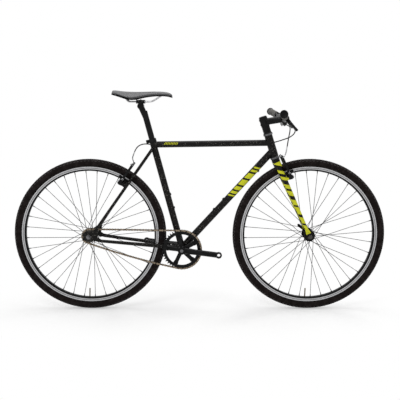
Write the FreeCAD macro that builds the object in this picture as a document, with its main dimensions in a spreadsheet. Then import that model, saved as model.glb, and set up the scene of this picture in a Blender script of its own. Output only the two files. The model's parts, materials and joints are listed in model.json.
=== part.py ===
import FreeCAD, Part
import math
import os
import re

import Sketcher

# Fixed gear bicycle with a flat bar and rim brakes, in millimetres.
# +X is forward, +Y is the rider's left, +Z is up, and the drive side is -Y.
# The origin is on the ground, midway between the two axles.

V = FreeCAD.Vector
AHEAD = V(1, 0, 0)
LEFT = V(0, 1, 0)
RIGHT = V(0, -1, 0)
UP = V(0, 0, 1)

# Driving sizes: lengths in millimetres, angles in degrees, and counts.
SIZES = {
    # Geometry of the whole bicycle
    "wheelbase": 1008,
    "tyre_diameter": 702,
    "chainstay_length": 427.9,
    "bracket_drop": 63,
    "head_angle": 72.5,
    "seat_angle": 75,
    "fork_rake": 45,
    # Clearances
    "overrun": 5,
    "running_fit": 0.05,
    "seat_fit": 0.1,
    "free_gap": 0.3,
    # Main tubes
    "tube_wall": 1.2,
    "head_tube_diameter": 37,
    "head_tube_wall": 2.2,
    "head_tube_bottom": 378.5,
    "head_tube_length": 101,
    "top_tube_diameter": 28.6,
    "top_tube_on_head": 444.6,
    "top_tube_drop": 27,
    "down_tube_diameter": 31.8,
    "down_tube_on_head": 407.5,
    "seat_tube_diameter": 30,
    "seat_tube_length": 523,
    "seat_slot_width": 3,
    "seat_slot_length": 30,
    "shell_diameter": 40,
    "shell_width": 68,
    "shell_wall": 2.7,
    # Stays
    "rear_spacing": 120,
    "chainstay_height": 19,
    "chainstay_width": 13,
    "chainstay_end_height": 14,
    "chainstay_end_width": 12,
    "chainstay_spread": 24,
    "chainstay_rise": 4,
    "chainstay_bridge_reach": 52,
    "seatstay_diameter": 14,
    "seatstay_end_diameter": 12.5,
    "seatstay_spread": 17,
    "seatstay_on_seat": 480,
    "seatstay_set_back": 6,
    "bridge_diameter": 12,
    "bridge_clearance": 20,
    # Track ends
    "track_end_thickness": 6,
    "track_end_reach": 28,
    "track_end_height": 32,
    "track_slot_depth": 12,
    "chainstay_tab_reach": 52,
    "chainstay_tab_drop": 18,
    "seatstay_tab_reach": 34,
    "seatstay_tab_rise": 34,
    "tab_width": 12,
    "stay_overlap": 16,
    # Bosses
    "boss_diameter": 11,
    "boss_height": 3,
    "boss_thread_diameter": 5,
    "boss_depth": 8,
    "boss_spacing": 64,
    "seat_boss_height": 193,
    "down_boss_reach": 234,
    "under_boss_reach": 500,
    "stop_diameter": 9,
    "stop_length": 14,
    "stop_front_reach": 440,
    "stop_rear_reach": 90,
    "stop_angle": 35,
    "stop_lead": 24,
    "housing_diameter": 5,
    "wire_diameter": 1.6,
    # Seat collar
    "collar_height": 16,
    "collar_wall": 3.4,
    "collar_ear_length": 10,
    "collar_ear_width": 13,
    "collar_bolt_diameter": 5,
    "collar_head_diameter": 8.5,
    # Headset
    "steerer_diameter": 28.6,
    "steerer_wall": 2.2,
    "cup_diameter": 43,
    "cup_height": 8.7,
    "cup_floor": 2,
    "cup_insert": 10,
    "cup_wall": 2.2,
    "race_height": 3.5,
    "cover_height": 4,
    "spacer_diameter": 36,
    "spacer_height": 10,
    "spacer_count": 3,
    "cap_height": 5,
    # Fork
    "crown_height": 20,
    "crown_diameter": 37,
    "crown_arm_diameter": 24,
    "crown_socket_length": 24,
    "crown_socket_wall": 2,
    "blade_depth": 28,
    "blade_width": 20,
    "blade_end_diameter": 13,
    "blade_spread": 72,
    "blade_start": 350,
    "front_spacing": 100,
    "fork_end_thickness": 5,
    "fork_end_width": 26,
    "fork_end_length": 40,
    "fork_end_drop": 13,
    # Stem and handlebar
    "stem_clamp_height": 42,
    "stem_clamp_wall": 5,
    "stem_length": 92,
    "stem_rise_angle": 9,
    "stem_arm_diameter": 31,
    "stem_bar_width": 44,
    "stem_bar_wall": 5,
    "stem_gap": 2,
    "stem_bolt_diameter": 5,
    "stem_bolt_head": 8.5,
    "bar_clamp_diameter": 31.8,
    "bar_clamp_length": 60,
    "bar_taper_length": 18,
    "bar_diameter": 22.2,
    "bar_wall": 2,
    "bar_half_width": 288,
    "bar_bend_start": 52,
    "bar_bend_radius": 70,
    "bar_back_angle": 8.5,
    "bar_up_angle": 6.5,
    "grip_length": 128,
    "grip_diameter": 31,
    "grip_flange_diameter": 35,
    "grip_flange_width": 4,
    "grip_end_thickness": 3,
    # Brake levers, measured from the bar's axis in the lever's own plane
    "lever_inset": 136,
    "lever_droop_angle": 50,
    "lever_clamp_width": 14,
    "lever_clamp_wall": 4,
    "lever_body_length": 22,
    "lever_body_start": 8,
    "lever_body_end": 56,
    "lever_body_thickness": 17,
    "lever_pivot_reach": 22,
    "lever_pivot_out": 2,
    "lever_pivot_diameter": 5,
    "lever_thickness": 10,
    "lever_hub_width": 16,
    "lever_cable_reach": 48,
    "lever_knee_out": 24,
    "lever_knee_reach": 36,
    "lever_tip_out": 104,
    "lever_tip_reach": 74,
    "lever_blade_depth": 12,
    "adjuster_diameter": 9,
    "adjuster_length": 16,
    "adjuster_lead": 29,
    # Rim brakes, measured from the foot of the axle on each stay
    "post_spacing": 80,
    "post_distance": 284,
    "post_diameter": 10,
    "post_length": 42,
    "post_base_diameter": 15,
    "post_base_length": 20,
    "arm_length": 104,
    "arm_thickness": 10,
    "arm_start": 27,
    "arm_foot_width": 18,
    "arm_waist_width": 15,
    "arm_head_width": 11,
    "arm_lean": 3,
    "cable_hole_drop": 6,
    "noodle_diameter": 5.6,
    "noodle_entry": 15,
    "noodle_exit": 10,
    "pad_distance": 306,
    "pad_gap": 1.5,
    "pad_length": 54,
    "pad_height": 9,
    "pad_thickness": 10,
    "pad_set_back": 5,
    "pad_stud_diameter": 6,
    # Rims, tyres and tubes
    "bead_seat_diameter": 622,
    "rim_width": 24,
    "rim_flange_height": 5.5,
    "rim_depth": 20,
    "rim_wall": 1.6,
    "rim_well_depth": 3,
    "rim_bevel": 5,
    "tyre_width": 38,
    "tyre_tread": 3.6,
    "tyre_wall": 2,
    "tyre_crown_width": 14,
    "tyre_bead_width": 3.4,
    "tube_wall_gap": 1.2,
    "valve_diameter": 6,
    "valve_length": 40,
    "valve_angle": 2,
    # Spokes
    "spoke_count": 36,
    "spoke_crosses": 3,
    "spoke_diameter": 2,
    "nipple_diameter": 4,
    "nipple_length": 12,
    # Hubs
    "flange_diameter": 52,
    "flange_thickness": 3.2,
    "spoke_circle": 43,
    "barrel_diameter": 24,
    "front_flange_half": 35,
    "rear_flange_half": 30,
    "front_hub_half": 45,
    "hub_nose_diameter": 28,
    "bearing_diameter": 22,
    "bearing_width": 7,
    "front_axle_diameter": 9,
    "front_axle_bore": 5.6,
    "rear_axle_diameter": 9.8,
    "rear_hub_left": 50,
    "cone_diameter": 16,
    "cone_gap": 1,
    "skewer_diameter": 5,
    "skewer_nut_diameter": 18,
    "skewer_nut_length": 14,
    "lever_cap_diameter": 18,
    "lever_cap_length": 12,
    "quick_lever_length": 54,
    "quick_lever_width": 13,
    "quick_lever_thickness": 5,
    "quick_hub_diameter": 13,
    "quick_lever_angle": 139,
    "axle_nut_diameter": 17,
    "axle_nut_height": 11,
    "washer_diameter": 21,
    "washer_thickness": 2,
    "axle_end": 4,
    # Drive
    "chain_pitch": 12.7,
    "chain_line": 43,
    "roller_diameter": 7.75,
    "roller_width": 3.3,
    "plate_thickness": 1,
    "plate_height": 8.6,
    "plate_gap": 0.1,
    "ring_teeth": 44,
    "cog_teeth": 16,
    "tooth_thickness": 2.9,
    "tooth_height": 3.6,
    "tooth_seat": 0.3,
    "ring_rim": 14,
    "ring_bolt_circle": 130,
    "ring_bolt_diameter": 10,
    "ring_bolt_head": 12.5,
    "ring_tab_diameter": 22,
    "lockring_diameter": 42,
    "lockring_thickness": 4,
    # Cranks
    "crank_length": 170,
    "crank_drop_angle": 7,
    "crank_boss_diameter": 36,
    "crank_boss_inner": 41,
    "crank_boss_width": 28,
    "crank_eye_diameter": 29,
    "crank_width": 25,
    "crank_neck_width": 30,
    "crank_thickness": 12.5,
    "crank_neck_thickness": 17,
    "crank_flare": 12,
    "pedal_thread_diameter": 14.3,
    "spider_arms": 5,
    "spider_thickness": 5.5,
    "spider_width": 18,
    "spindle_diameter": 17,
    "spindle_half": 57,
    "spindle_square": 12,
    "spindle_square_length": 18,
    "bracket_cup_flange": 3,
    "bracket_bearing_width": 9,
    "bracket_bearing_diameter": 30,
    "crank_bolt_diameter": 15,
    "crank_bolt_height": 4,
    # Seat
    "seatpost_diameter": 27.2,
    "seatpost_wall": 2.2,
    "seatpost_insert": 150,
    "seatpost_height": 652,
    "post_head_diameter": 30,
    "post_head_width": 36,
    "saddle_set_back": 15,
    "rail_spacing": 44,
    "rail_diameter": 7,
    "rail_height": 960,
    "rail_rise": 37,
    "rail_bend": 14,
    "rail_nose_bend": 42,
    "clamp_length": 38,
    "clamp_width": 58,
    "clamp_thickness": 8,
    "clamp_bolt_diameter": 6,
    "saddle_tail": -392,
    "saddle_length": 270,
    "saddle_width": 142,
    "saddle_top": 1007,
    "saddle_crown": 14,
    "saddle_pad": 9,
    "saddle_shell_thickness": 3,
}

doc = FreeCAD.newDocument("FixedGearBike")
sheet = doc.addObject("Spreadsheet::Sheet", "Sizes")
for row, (alias, value) in enumerate(SIZES.items(), start=1):
    sheet.set("A%d" % row, alias)
    sheet.set("B%d" % row, str(value))
    sheet.setAlias("B%d" % row, alias)
doc.recompute()

nodes = []


def size(formula):
    """Number that a formula in the sheet's names comes to."""
    return float(sheet.evalExpression(formula))


def on_sheet(formula):
    """The same formula with each size written as a cell of the sheet."""

    def cell(word):
        name = word.group()
        return "Sizes." + name if name in SIZES else name

    return re.sub(r"[a-z]\w*", cell, formula)


def make(kind, name, place=None, **formulas):
    """Document object with its sizes bound to formulas in the sheet's names."""
    thing = doc.addObject(kind, name)
    for prop, formula in formulas.items():
        thing.setExpression(prop, on_sheet(formula))
    if place:
        thing.Placement = place
    return thing


def node(label, thing):
    """Marks an object as one of the bicycle's own pieces."""
    thing.Label = label
    nodes.append(thing)
    return thing


def facing(origin, normal, across):
    """Placement with local Z along normal and local X as near across as can be."""
    return FreeCAD.Placement(origin, FreeCAD.Rotation(across, V(), normal, "ZXY"))


def rod(name, radius, start, end):
    """Cylinder from one point to another."""
    place = FreeCAD.Placement(start, FreeCAD.Rotation(UP, end - start))
    thing = make("Part::Cylinder", name, place, Radius=radius)
    thing.Height = start.distanceToPoint(end)
    return thing


def drill(name, radius, start, end):
    """Cutting cylinder that runs past both ends."""
    past = (end - start).normalize() * size("overrun")
    return rod(name, radius, start - past, end + past)


def block(name, place, length, width, height):
    """Box centred on its placement."""
    thing = make("Part::Box", name, None, Length=length, Width=width, Height=height)
    middle = V(size(length), size(width), size(height)) * -0.5
    thing.Placement = place * FreeCAD.Placement(middle, FreeCAD.Rotation())
    return thing


def bar(name, start, end, normal, width, thickness):
    """Flat bar from one point to another, centred on the line between them."""
    thing = make("Part::Box", name, None, Width=width, Height=thickness)
    thing.Length = start.distanceToPoint(end)
    corner = V(0, size(width), size(thickness)) * -0.5
    place = facing(start, normal, end - start)
    thing.Placement = place * FreeCAD.Placement(corner, FreeCAD.Rotation())
    return thing


def group(name, *members):
    thing = doc.addObject("Part::Compound", name)
    thing.Links = list(members)
    return thing


def fused(name, *members):
    thing = doc.addObject("Part::MultiFuse", name)
    thing.Shapes = list(members)
    return thing


def cut(name, base, *tools):
    thing = doc.addObject("Part::Cut", name)
    thing.Base = base
    thing.Tool = tools[0] if len(tools) == 1 else group(name + "_tools", *tools)
    return thing


def mirrored(name, source):
    """Copy on the other side of the bicycle's middle plane."""
    thing = doc.addObject("Part::Mirroring", name)
    thing.Source = source
    thing.Normal = LEFT
    return thing


def pair(name, source):
    return group(name, source, mirrored(name + "_other", source))


def shaped(name, shape):
    """Object for a form worked out by formula."""
    thing = doc.addObject("Part::Feature", name)
    thing.Shape = shape
    return thing


def sketched(body, role, points):
    """Closed outline in one of a body's planes, every corner tied to the sheet."""
    drawing = body.newObject("Sketcher::SketchObject", body.Name + "_sketch")
    plane = next(f for f in body.Origin.OriginFeatures if f.Role == role)
    drawing.AttachmentSupport = [(plane, "")]
    drawing.MapMode = "FlatFace"
    corners = [V(size(x), size(y), 0) for x, y in points]
    count = len(points)
    for index, corner in enumerate(corners):
        drawing.addGeometry(Part.LineSegment(corner, corners[(index + 1) % count]))
    for index in range(count):
        drawing.addConstraint(Sketcher.Constraint("Coincident", index, 2, (index + 1) % count, 1))
    for index, point in enumerate(points):
        for kind, formula in zip(("DistanceX", "DistanceY"), point):
            constraint = Sketcher.Constraint(kind, -1, 1, index, 1, size(formula))
            number = drawing.addConstraint(constraint)
            drawing.setExpression("Constraints[%d]" % number, on_sheet(formula))
    return drawing


def turned(name, place, profile):
    """Body of revolution; the profile gives radius and height along the local Z axis."""
    body = doc.addObject("PartDesign::Body", name)
    drawing = sketched(body, "XZ_Plane", profile)
    turn = body.newObject("PartDesign::Revolution", name + "_turn")
    turn.Profile = drawing
    turn.ReferenceAxis = (drawing, ["V_Axis"])
    turn.Angle = 360
    body.Placement = place
    return body


def plate(name, place, outline, thickness):
    """Flat body with an outline in local X and Y, padded along local Z."""
    body = doc.addObject("PartDesign::Body", name)
    drawing = sketched(body, "XY_Plane", outline)
    pad = body.newObject("PartDesign::Pad", name + "_pad")
    pad.Profile = drawing
    pad.setExpression("Length", on_sheet(thickness))
    body.Placement = place
    return body


def oval(name, centre, direction, depth, width):
    """Ellipse square to a direction, its depth in the bicycle's side plane."""
    across = direction.cross(LEFT)
    place = facing(centre, direction, across)
    if size(depth) >= size(width):
        return make("Part::Ellipse", name, place, MajorRadius=depth, MinorRadius=width)
    turn = FreeCAD.Placement(V(), FreeCAD.Rotation(UP, 90))
    return make("Part::Ellipse", name, place * turn, MajorRadius=width, MinorRadius=depth)


def tapered(name, start, end, first, last, less):
    """Straight tapered tube skin between two ovals, each given as depth and width."""
    direction = end - start
    ovals = []
    for spot, (depth, width), part in ((start, first, "a"), (end, last, "b")):
        depth = "(%s) / 2 - %s" % (depth, less)
        width = "(%s) / 2 - %s" % (width, less)
        ovals.append(oval(name + "_" + part, spot, direction, depth, width))
    loft = doc.addObject("Part::Loft", name)
    loft.Sections = ovals
    loft.Solid = True
    loft.Ruled = True
    return loft


def hollow(name, start, end, first, last):
    """Tapered tube with the wall of the frame's tubes."""
    skin = tapered(name + "_skin", start, end, first, last, "0")
    core = tapered(name + "_core", start, end, first, last, "tube_wall")
    return skin, core


def leaning(angle):
    """Upward direction in the side plane, leaning back from the vertical."""
    turn = math.radians(size(angle))
    return V(-math.cos(turn), 0, math.sin(turn))


def beside(point, formula):
    """The same point moved sideways to the right by a size."""
    return V(point.x, -size(formula), point.z)


def polar(centre, radius, turn):
    """Point at a turn round a centre, in the centre's own side plane."""
    return centre + V(math.cos(turn), 0, math.sin(turn)) * radius


# Main points
AXLE_HEIGHT = size("tyre_diameter / 2")
REAR = V(-size("wheelbase / 2"), 0, AXLE_HEIGHT)
FRONT = V(size("wheelbase / 2"), 0, AXLE_HEIGHT)
STAY_RUN = math.sqrt(size("chainstay_length") ** 2 - size("bracket_drop") ** 2)
BRACKET = V(REAR.x + STAY_RUN, 0, AXLE_HEIGHT - size("bracket_drop"))
SEAT_UP = leaning("seat_angle")
SEAT_BACK = V(-SEAT_UP.z, 0, SEAT_UP.x)
STEER_UP = leaning("head_angle")
STEER_FOOT = FRONT - AHEAD * (size("fork_rake") / STEER_UP.z)


def on_steerer(formula):
    """Point on the steering axis, so far above the height of the axles."""
    return STEER_FOOT + STEER_UP * size(formula)


def on_seat(formula):
    """Point on the seat tube's axis, so far above the bottom bracket."""
    return BRACKET + SEAT_UP * size(formula)


# Frame
HEAD_TOP = "head_tube_bottom + head_tube_length"
head_solid = rod(
    "head_solid", "head_tube_diameter / 2", on_steerer("head_tube_bottom"), on_steerer(HEAD_TOP)
)
seat_solid = rod("seat_solid", "seat_tube_diameter / 2", BRACKET, on_seat("seat_tube_length"))
shell_solid = rod(
    "shell_solid",
    "shell_diameter / 2",
    BRACKET + RIGHT * size("shell_width / 2"),
    BRACKET + LEFT * size("shell_width / 2"),
)


def bottle_boss(name, spot, out, tube_radius):
    """Threaded boss let through a tube's wall, and the hole it fills."""
    outer = spot + out * size("%s + boss_height" % tube_radius)
    inner = outer - out * size("boss_depth")
    body = rod(name + "_body", "boss_diameter / 2", inner, outer)
    thread = drill(name + "_thread", "boss_thread_diameter / 2", inner, outer)
    return cut(name, body, thread), body


def seat_bosses():
    """Two bosses on the seat tube's front."""
    bosses = []
    for name, step in (("seat_boss_low", "0"), ("seat_boss_high", "boss_spacing")):
        spot = on_seat("seat_boss_height + " + step)
        bosses.append(bottle_boss(name, spot, SEAT_BACK * -1, "seat_tube_diameter / 2"))
    return bosses


def down_bosses():
    """Two bosses on the down tube's upper side and one on its lower side."""
    down = (on_steerer("down_tube_on_head") - BRACKET).normalize()
    out = V(-down.z, 0, down.x)
    bosses = []
    for name, reach, way in (
        ("down_boss_low", "down_boss_reach", out),
        ("down_boss_high", "down_boss_reach + boss_spacing", out),
        ("under_boss", "under_boss_reach", out * -1),
    ):
        bosses.append(bottle_boss(name, BRACKET + down * size(reach), way, "down_tube_diameter / 2"))
    return bosses


SEAT_BOSSES, DOWN_BOSSES = seat_bosses(), down_bosses()


def main_tubes():
    """Head, seat, top and down tubes and the bottom bracket shell, mitred to one another."""
    head_bore = drill(
        "head_bore",
        "head_tube_diameter / 2 - head_tube_wall",
        on_steerer("head_tube_bottom"),
        on_steerer(HEAD_TOP),
    )
    node("head_tube", cut("head_tube", head_solid, head_bore))

    half = size("shell_width / 2")
    shell_bore = drill(
        "shell_bore", "shell_diameter / 2 - shell_wall", BRACKET + RIGHT * half, BRACKET + LEFT * half
    )
    node("bottom_bracket_shell", cut("bottom_bracket_shell", shell_solid, shell_bore))

    seat_bore = drill(
        "seat_bore", "seatpost_diameter / 2 + running_fit", BRACKET, on_seat("seat_tube_length")
    )
    slot_spot = on_seat("seat_tube_length") + SEAT_BACK * size("seat_tube_diameter / 2")
    slot_place = facing(slot_spot, SEAT_UP, SEAT_BACK)
    slot = block("seat_slot", slot_place, "seat_slot_width", "seat_slot_width", "seat_slot_length * 2")
    bodies = [body for _, body in SEAT_BOSSES]
    node("seat_tube", cut("seat_tube", seat_solid, seat_bore, shell_solid, slot, *bodies))

    top_skin = rod(
        "top_skin",
        "top_tube_diameter / 2",
        on_seat("seat_tube_length - top_tube_drop"),
        on_steerer("top_tube_on_head"),
    )
    top_core = rod(
        "top_core",
        "top_tube_diameter / 2 - tube_wall",
        on_seat("seat_tube_length - top_tube_drop"),
        on_steerer("top_tube_on_head"),
    )
    node("top_tube", cut("top_tube", top_skin, top_core, head_solid, seat_solid))

    down_skin = rod("down_skin", "down_tube_diameter / 2", BRACKET, on_steerer("down_tube_on_head"))
    down_core = rod(
        "down_core", "down_tube_diameter / 2 - tube_wall", BRACKET, on_steerer("down_tube_on_head")
    )
    bodies = [body for _, body in DOWN_BOSSES]
    mitres = [head_solid, seat_solid, shell_solid]
    node("down_tube", cut("down_tube", down_skin, down_core, *(mitres + bodies)))
    return top_skin


top_skin = main_tubes()

# Rear triangle, right side first
TRACK_MIDDLE = "rear_spacing / 2 + track_end_thickness / 2"
CHAINSTAY_END = beside(
    REAR + V(size("chainstay_tab_reach"), 0, -size("chainstay_tab_drop")), TRACK_MIDDLE
)
SEATSTAY_END = beside(
    REAR + V(size("seatstay_tab_reach"), 0, size("seatstay_tab_rise")), TRACK_MIDDLE
)
SEATSTAY_TOP = beside(on_seat("seatstay_on_seat") - AHEAD * size("seatstay_set_back"), "seatstay_spread")
STAY_UP = V(SEATSTAY_TOP.x - SEATSTAY_END.x, 0, SEATSTAY_TOP.z - SEATSTAY_END.z).normalize()
STAY_BACK = V(-STAY_UP.z, 0, STAY_UP.x)
STAY_FOOT = V(SEATSTAY_END.x, 0, SEATSTAY_END.z)
STAY_FOOT = STAY_FOOT - STAY_UP * (STAY_FOOT - REAR).dot(STAY_UP)


def track_end():
    """Right track end: a plate with a slot that opens to the rear and a tab for each stay."""
    place = facing(beside(REAR, "rear_spacing / 2"), RIGHT, AHEAD)
    half_slot = "rear_axle_diameter / 2 + seat_fit"
    outline = [
        ("-track_end_reach", half_slot),
        ("track_slot_depth", half_slot),
        ("track_slot_depth", "-(%s)" % half_slot),
        ("-track_end_reach", "-(%s)" % half_slot),
        ("-track_end_reach", "-track_end_height / 2"),
        ("track_slot_depth", "-track_end_height / 2"),
        ("chainstay_tab_reach", "-chainstay_tab_drop - tab_width / 2"),
        ("chainstay_tab_reach + tab_width / 2", "-chainstay_tab_drop + tab_width / 2"),
        ("seatstay_tab_reach + tab_width / 2", "0"),
        ("seatstay_tab_reach + tab_width", "seatstay_tab_rise"),
        ("seatstay_tab_reach", "seatstay_tab_rise + tab_width / 2"),
        ("0", "track_end_height / 2"),
        ("-track_end_reach", "track_end_height / 2"),
    ]
    return plate("track_end", place, outline, "track_end_thickness")


def half_bridge(name, spot, skin):
    """Cross tube from the middle plane to one stay, and its mirror image, as one piece."""
    tube = rod(name + "_tube", "bridge_diameter / 2", spot, V(spot.x, 0, spot.z))
    half = cut(name + "_half", tube, skin)
    return fused(name, half, mirrored(name + "_other", half))


def rear_triangle():
    """Track ends, chainstays and seatstays, with a bridge between each pair of stays."""
    end = track_end()
    node("track_ends", pair("track_ends_pair", end))

    front = V(BRACKET.x, -size("chainstay_spread"), BRACKET.z + size("chainstay_rise"))
    thin = ("chainstay_end_height", "chainstay_end_width")
    thick = ("chainstay_height", "chainstay_width")
    skin, core = hollow("chainstay", CHAINSTAY_END, front, thin, thick)
    stay = cut("chainstay_right", skin, core, shell_solid, seat_solid, end)
    reach = (CHAINSTAY_END - front).normalize()
    bridge = half_bridge("chainstay_bridge", front + reach * size("chainstay_bridge_reach"), skin)
    node("chainstays", group("chainstays", stay, mirrored("chainstay_left", stay), bridge))

    thin = ("seatstay_end_diameter", "seatstay_end_diameter")
    thick = ("seatstay_diameter", "seatstay_diameter")
    skin, core = hollow("seatstay", SEATSTAY_END, SEATSTAY_TOP, thin, thick)
    stay = cut("seatstay_right", skin, core, seat_solid, top_skin, end)
    height = size("tyre_diameter / 2 + bridge_clearance")
    along = SEATSTAY_TOP - SEATSTAY_END
    share = (height - (SEATSTAY_END - STAY_FOOT).dot(STAY_UP)) / along.dot(STAY_UP)
    bridge = half_bridge("brake_bridge", SEATSTAY_END + along * share, skin)
    node("seatstays", group("seatstays", stay, mirrored("seatstay_left", stay), bridge))
    return skin


seatstay_skin = rear_triangle()


def brake_post(name, foot, up, out, skin):
    """Right brake post: a base on the stay and a round pin for the arm."""
    root = beside(foot + up * size("post_distance"), "post_spacing / 2")
    base = rod(name + "_base", "post_base_diameter / 2", root, root + out * size("post_base_length"))
    pin = rod(name + "_pin", "post_diameter / 2", root, root + out * size("post_length"))
    return cut(name, fused(name + "_whole", base, pin), skin)


TOP_WAY = (on_steerer("top_tube_on_head") - on_seat("seat_tube_length - top_tube_drop")).normalize()


def stop_middle(reach):
    """Centre of a cable stop on the lower left of the top tube."""
    turn = math.radians(size("stop_angle"))
    out = LEFT * math.cos(turn) + LEFT.cross(TOP_WAY) * math.sin(turn)
    distance = size("top_tube_diameter / 2 + stop_diameter / 2 - free_gap")
    return on_seat("seat_tube_length - top_tube_drop") + TOP_WAY * size(reach) + out * distance


def frame_bosses():
    """Bottle bosses, cable stops and rear brake posts."""
    pieces = [piece for piece, _ in SEAT_BOSSES + DOWN_BOSSES]
    for name, reach in (("front_stop", "stop_front_reach"), ("rear_stop", "stop_rear_reach")):
        middle = stop_middle(reach)
        half = TOP_WAY * size("stop_length / 2")
        body = rod(name + "_body", "stop_diameter / 2", middle - half, middle + half)
        bore = drill(name + "_bore", "housing_diameter / 2 + seat_fit", middle - half, middle + half)
        pieces.append(cut(name, body, bore, top_skin))

    post = brake_post("rear_post", STAY_FOOT, STAY_UP, STAY_BACK, seatstay_skin)
    pieces.append(post)
    pieces.append(mirrored("rear_post_left", post))
    node("frame_bosses", group("frame_bosses", *pieces))


frame_bosses()


def seat_collar():
    """Clamp ring on the seat tube's top with two ears and a bolt behind."""
    low = on_seat("seat_tube_length - collar_height")
    high = on_seat("seat_tube_length")
    ring = rod("collar_ring", "seat_tube_diameter / 2 + seat_fit + collar_wall", low, high)
    bore = drill("collar_bore", "seat_tube_diameter / 2 + seat_fit", low, high)
    middle = on_seat("seat_tube_length - collar_height / 2")
    ear_reach = size("seat_tube_diameter / 2 + collar_wall / 2 + collar_ear_length / 2")
    place = facing(middle + SEAT_BACK * ear_reach, SEAT_UP, SEAT_BACK)
    ears = block("collar_ears", place, "collar_ear_length + collar_wall", "collar_ear_width", "collar_height")
    slot = block(
        "collar_slot",
        place,
        "collar_ear_length + collar_wall * 4",
        "seat_slot_width",
        "collar_height + overrun * 2",
    )
    spot = middle + SEAT_BACK * size("seat_tube_diameter / 2 + collar_wall + collar_ear_length / 2")
    half = LEFT * size("collar_ear_width / 2")
    hole = drill("collar_hole", "collar_bolt_diameter / 2 + seat_fit", spot - half, spot + half)
    clamp = cut("collar_clamp", fused("collar_whole", ring, ears), bore, slot, hole)
    shank = rod("collar_shank", "collar_bolt_diameter / 2", spot - half, spot + half)
    outer = spot - half + RIGHT * size("collar_bolt_diameter")
    head = rod("collar_head", "collar_head_diameter / 2", spot - half, outer)
    node("seat_collar", group("seat_collar", clamp, fused("collar_bolt", shank, head)))


seat_collar()


def headset():
    """Upper and lower cups in the head tube, each with its bearing."""
    outer = "cup_diameter / 2"
    insert = "head_tube_diameter / 2 - head_tube_wall - seat_fit"
    bore = "steerer_diameter / 2 + free_gap"
    race = "cup_diameter / 2 - cup_wall"
    profile = [
        (bore, "-cup_insert"),
        (insert, "-cup_insert"),
        (insert, "0"),
        ("head_tube_diameter / 2", "0"),
        (outer, "cup_floor"),
        (outer, "cup_height"),
        (race, "cup_height"),
        (race, "cup_floor"),
        (bore, "cup_floor"),
    ]
    ball_profile = [
        ("steerer_diameter / 2 + running_fit", "cup_floor"),
        ("cup_diameter / 2 - cup_wall - seat_fit", "cup_floor"),
        ("cup_diameter / 2 - cup_wall - seat_fit", "cup_height"),
        ("steerer_diameter / 2 + running_fit", "cup_height"),
    ]
    pieces = []
    for name, spot, way in (("lower", "head_tube_bottom", STEER_UP * -1), ("upper", HEAD_TOP, STEER_UP)):
        place = FreeCAD.Placement(on_steerer(spot), FreeCAD.Rotation(UP, way))
        pieces.append(turned(name + "_cup", place, profile))
        pieces.append(turned(name + "_bearing", place, ball_profile))
    node("headset_cups", group("headset_cups", *pieces))


headset()


def bottom_bracket():
    """Two threaded cups in the shell, each with its bearing."""
    outer = "shell_diameter / 2 - shell_wall - seat_fit"
    race = "bracket_bearing_diameter / 2"
    depth = "bracket_bearing_width + bracket_cup_flange"
    profile = [
        (race, "bracket_cup_flange"),
        (race, "-bracket_bearing_width"),
        (outer, "-bracket_bearing_width"),
        (outer, "0"),
        ("shell_diameter / 2", "0"),
        ("shell_diameter / 2", "bracket_cup_flange"),
    ]
    bearing = [
        ("spindle_diameter / 2 + running_fit", "bracket_cup_flange - (%s)" % depth),
        (race + " - seat_fit", "bracket_cup_flange - (%s)" % depth),
        (race + " - seat_fit", "bracket_cup_flange"),
        ("spindle_diameter / 2 + running_fit", "bracket_cup_flange"),
    ]
    place = FreeCAD.Placement(beside(BRACKET, "shell_width / 2"), FreeCAD.Rotation(UP, RIGHT))
    cup = turned("bracket_cup", place, profile)
    ring = turned("bracket_bearing", place, bearing)
    node("bottom_bracket", pair("bottom_bracket_pair", group("bracket_half", cup, ring)))


bottom_bracket()


def prism(start, end, radius, sides):
    """Straight bar with a regular polygon for its section."""
    direction = (end - start).normalize()
    across = direction.cross(LEFT if abs(direction.y) < 0.9 else UP).normalize()
    other = direction.cross(across)
    corners = []
    for index in range(sides + 1):
        turn = 2 * math.pi * index / sides
        corners.append(start + across * (radius * math.cos(turn)) + other * (radius * math.sin(turn)))
    return Part.Face(Part.makePolygon(corners)).extrude(end - start)


HEX_SIDES = 6


def rear_axle():
    """Solid axle with cones, washers and track nuts."""
    half = size("rear_spacing / 2 + track_end_thickness + washer_thickness + axle_nut_height + axle_end")
    axle = rod("rear_axle_rod", "rear_axle_diameter / 2", REAR + RIGHT * half, REAR + LEFT * half)
    hole = "rear_axle_diameter / 2 + seat_fit"
    bore = drill("rear_axle_bore", hole, REAR + RIGHT * half, REAR + LEFT * half)
    pieces = [axle]
    lock_face = "chain_line + tooth_thickness / 2 + lockring_thickness"
    for name, way, hub_end in (("right", RIGHT, lock_face), ("left", LEFT, "rear_hub_left")):
        inner = REAR + way * size(hub_end + " + cone_gap")
        cone = rod(name + "_cone", "cone_diameter / 2", inner, REAR + way * size("rear_spacing / 2"))
        pieces.append(cut(name + "_cone_ring", cone, bore))
        start = REAR + way * size("rear_spacing / 2 + track_end_thickness")
        face = start + way * size("washer_thickness")
        washer = rod(name + "_washer", "washer_diameter / 2", start, face)
        pieces.append(cut(name + "_washer_ring", washer, bore))
        end = face + way * size("axle_nut_height")
        nut = shaped(name + "_nut", prism(face, end, size("axle_nut_diameter / 2"), HEX_SIDES))
        pieces.append(cut(name + "_nut_ring", nut, bore))
    node("rear_axle", group("rear_axle", *pieces))


rear_axle()

# Fork and steering
BLADE_TOP = on_steerer("blade_start")
BLADE_UP = (BLADE_TOP - FRONT).normalize()
BLADE_AHEAD = V(BLADE_UP.z, 0, -BLADE_UP.x)
RACE_SEAT = "head_tube_bottom - cup_height - free_gap - race_height"
STACK_TOP = HEAD_TOP + " + cup_height + free_gap"
STEM_LOW = STACK_TOP + " + cover_height + spacer_height * spacer_count"


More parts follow.
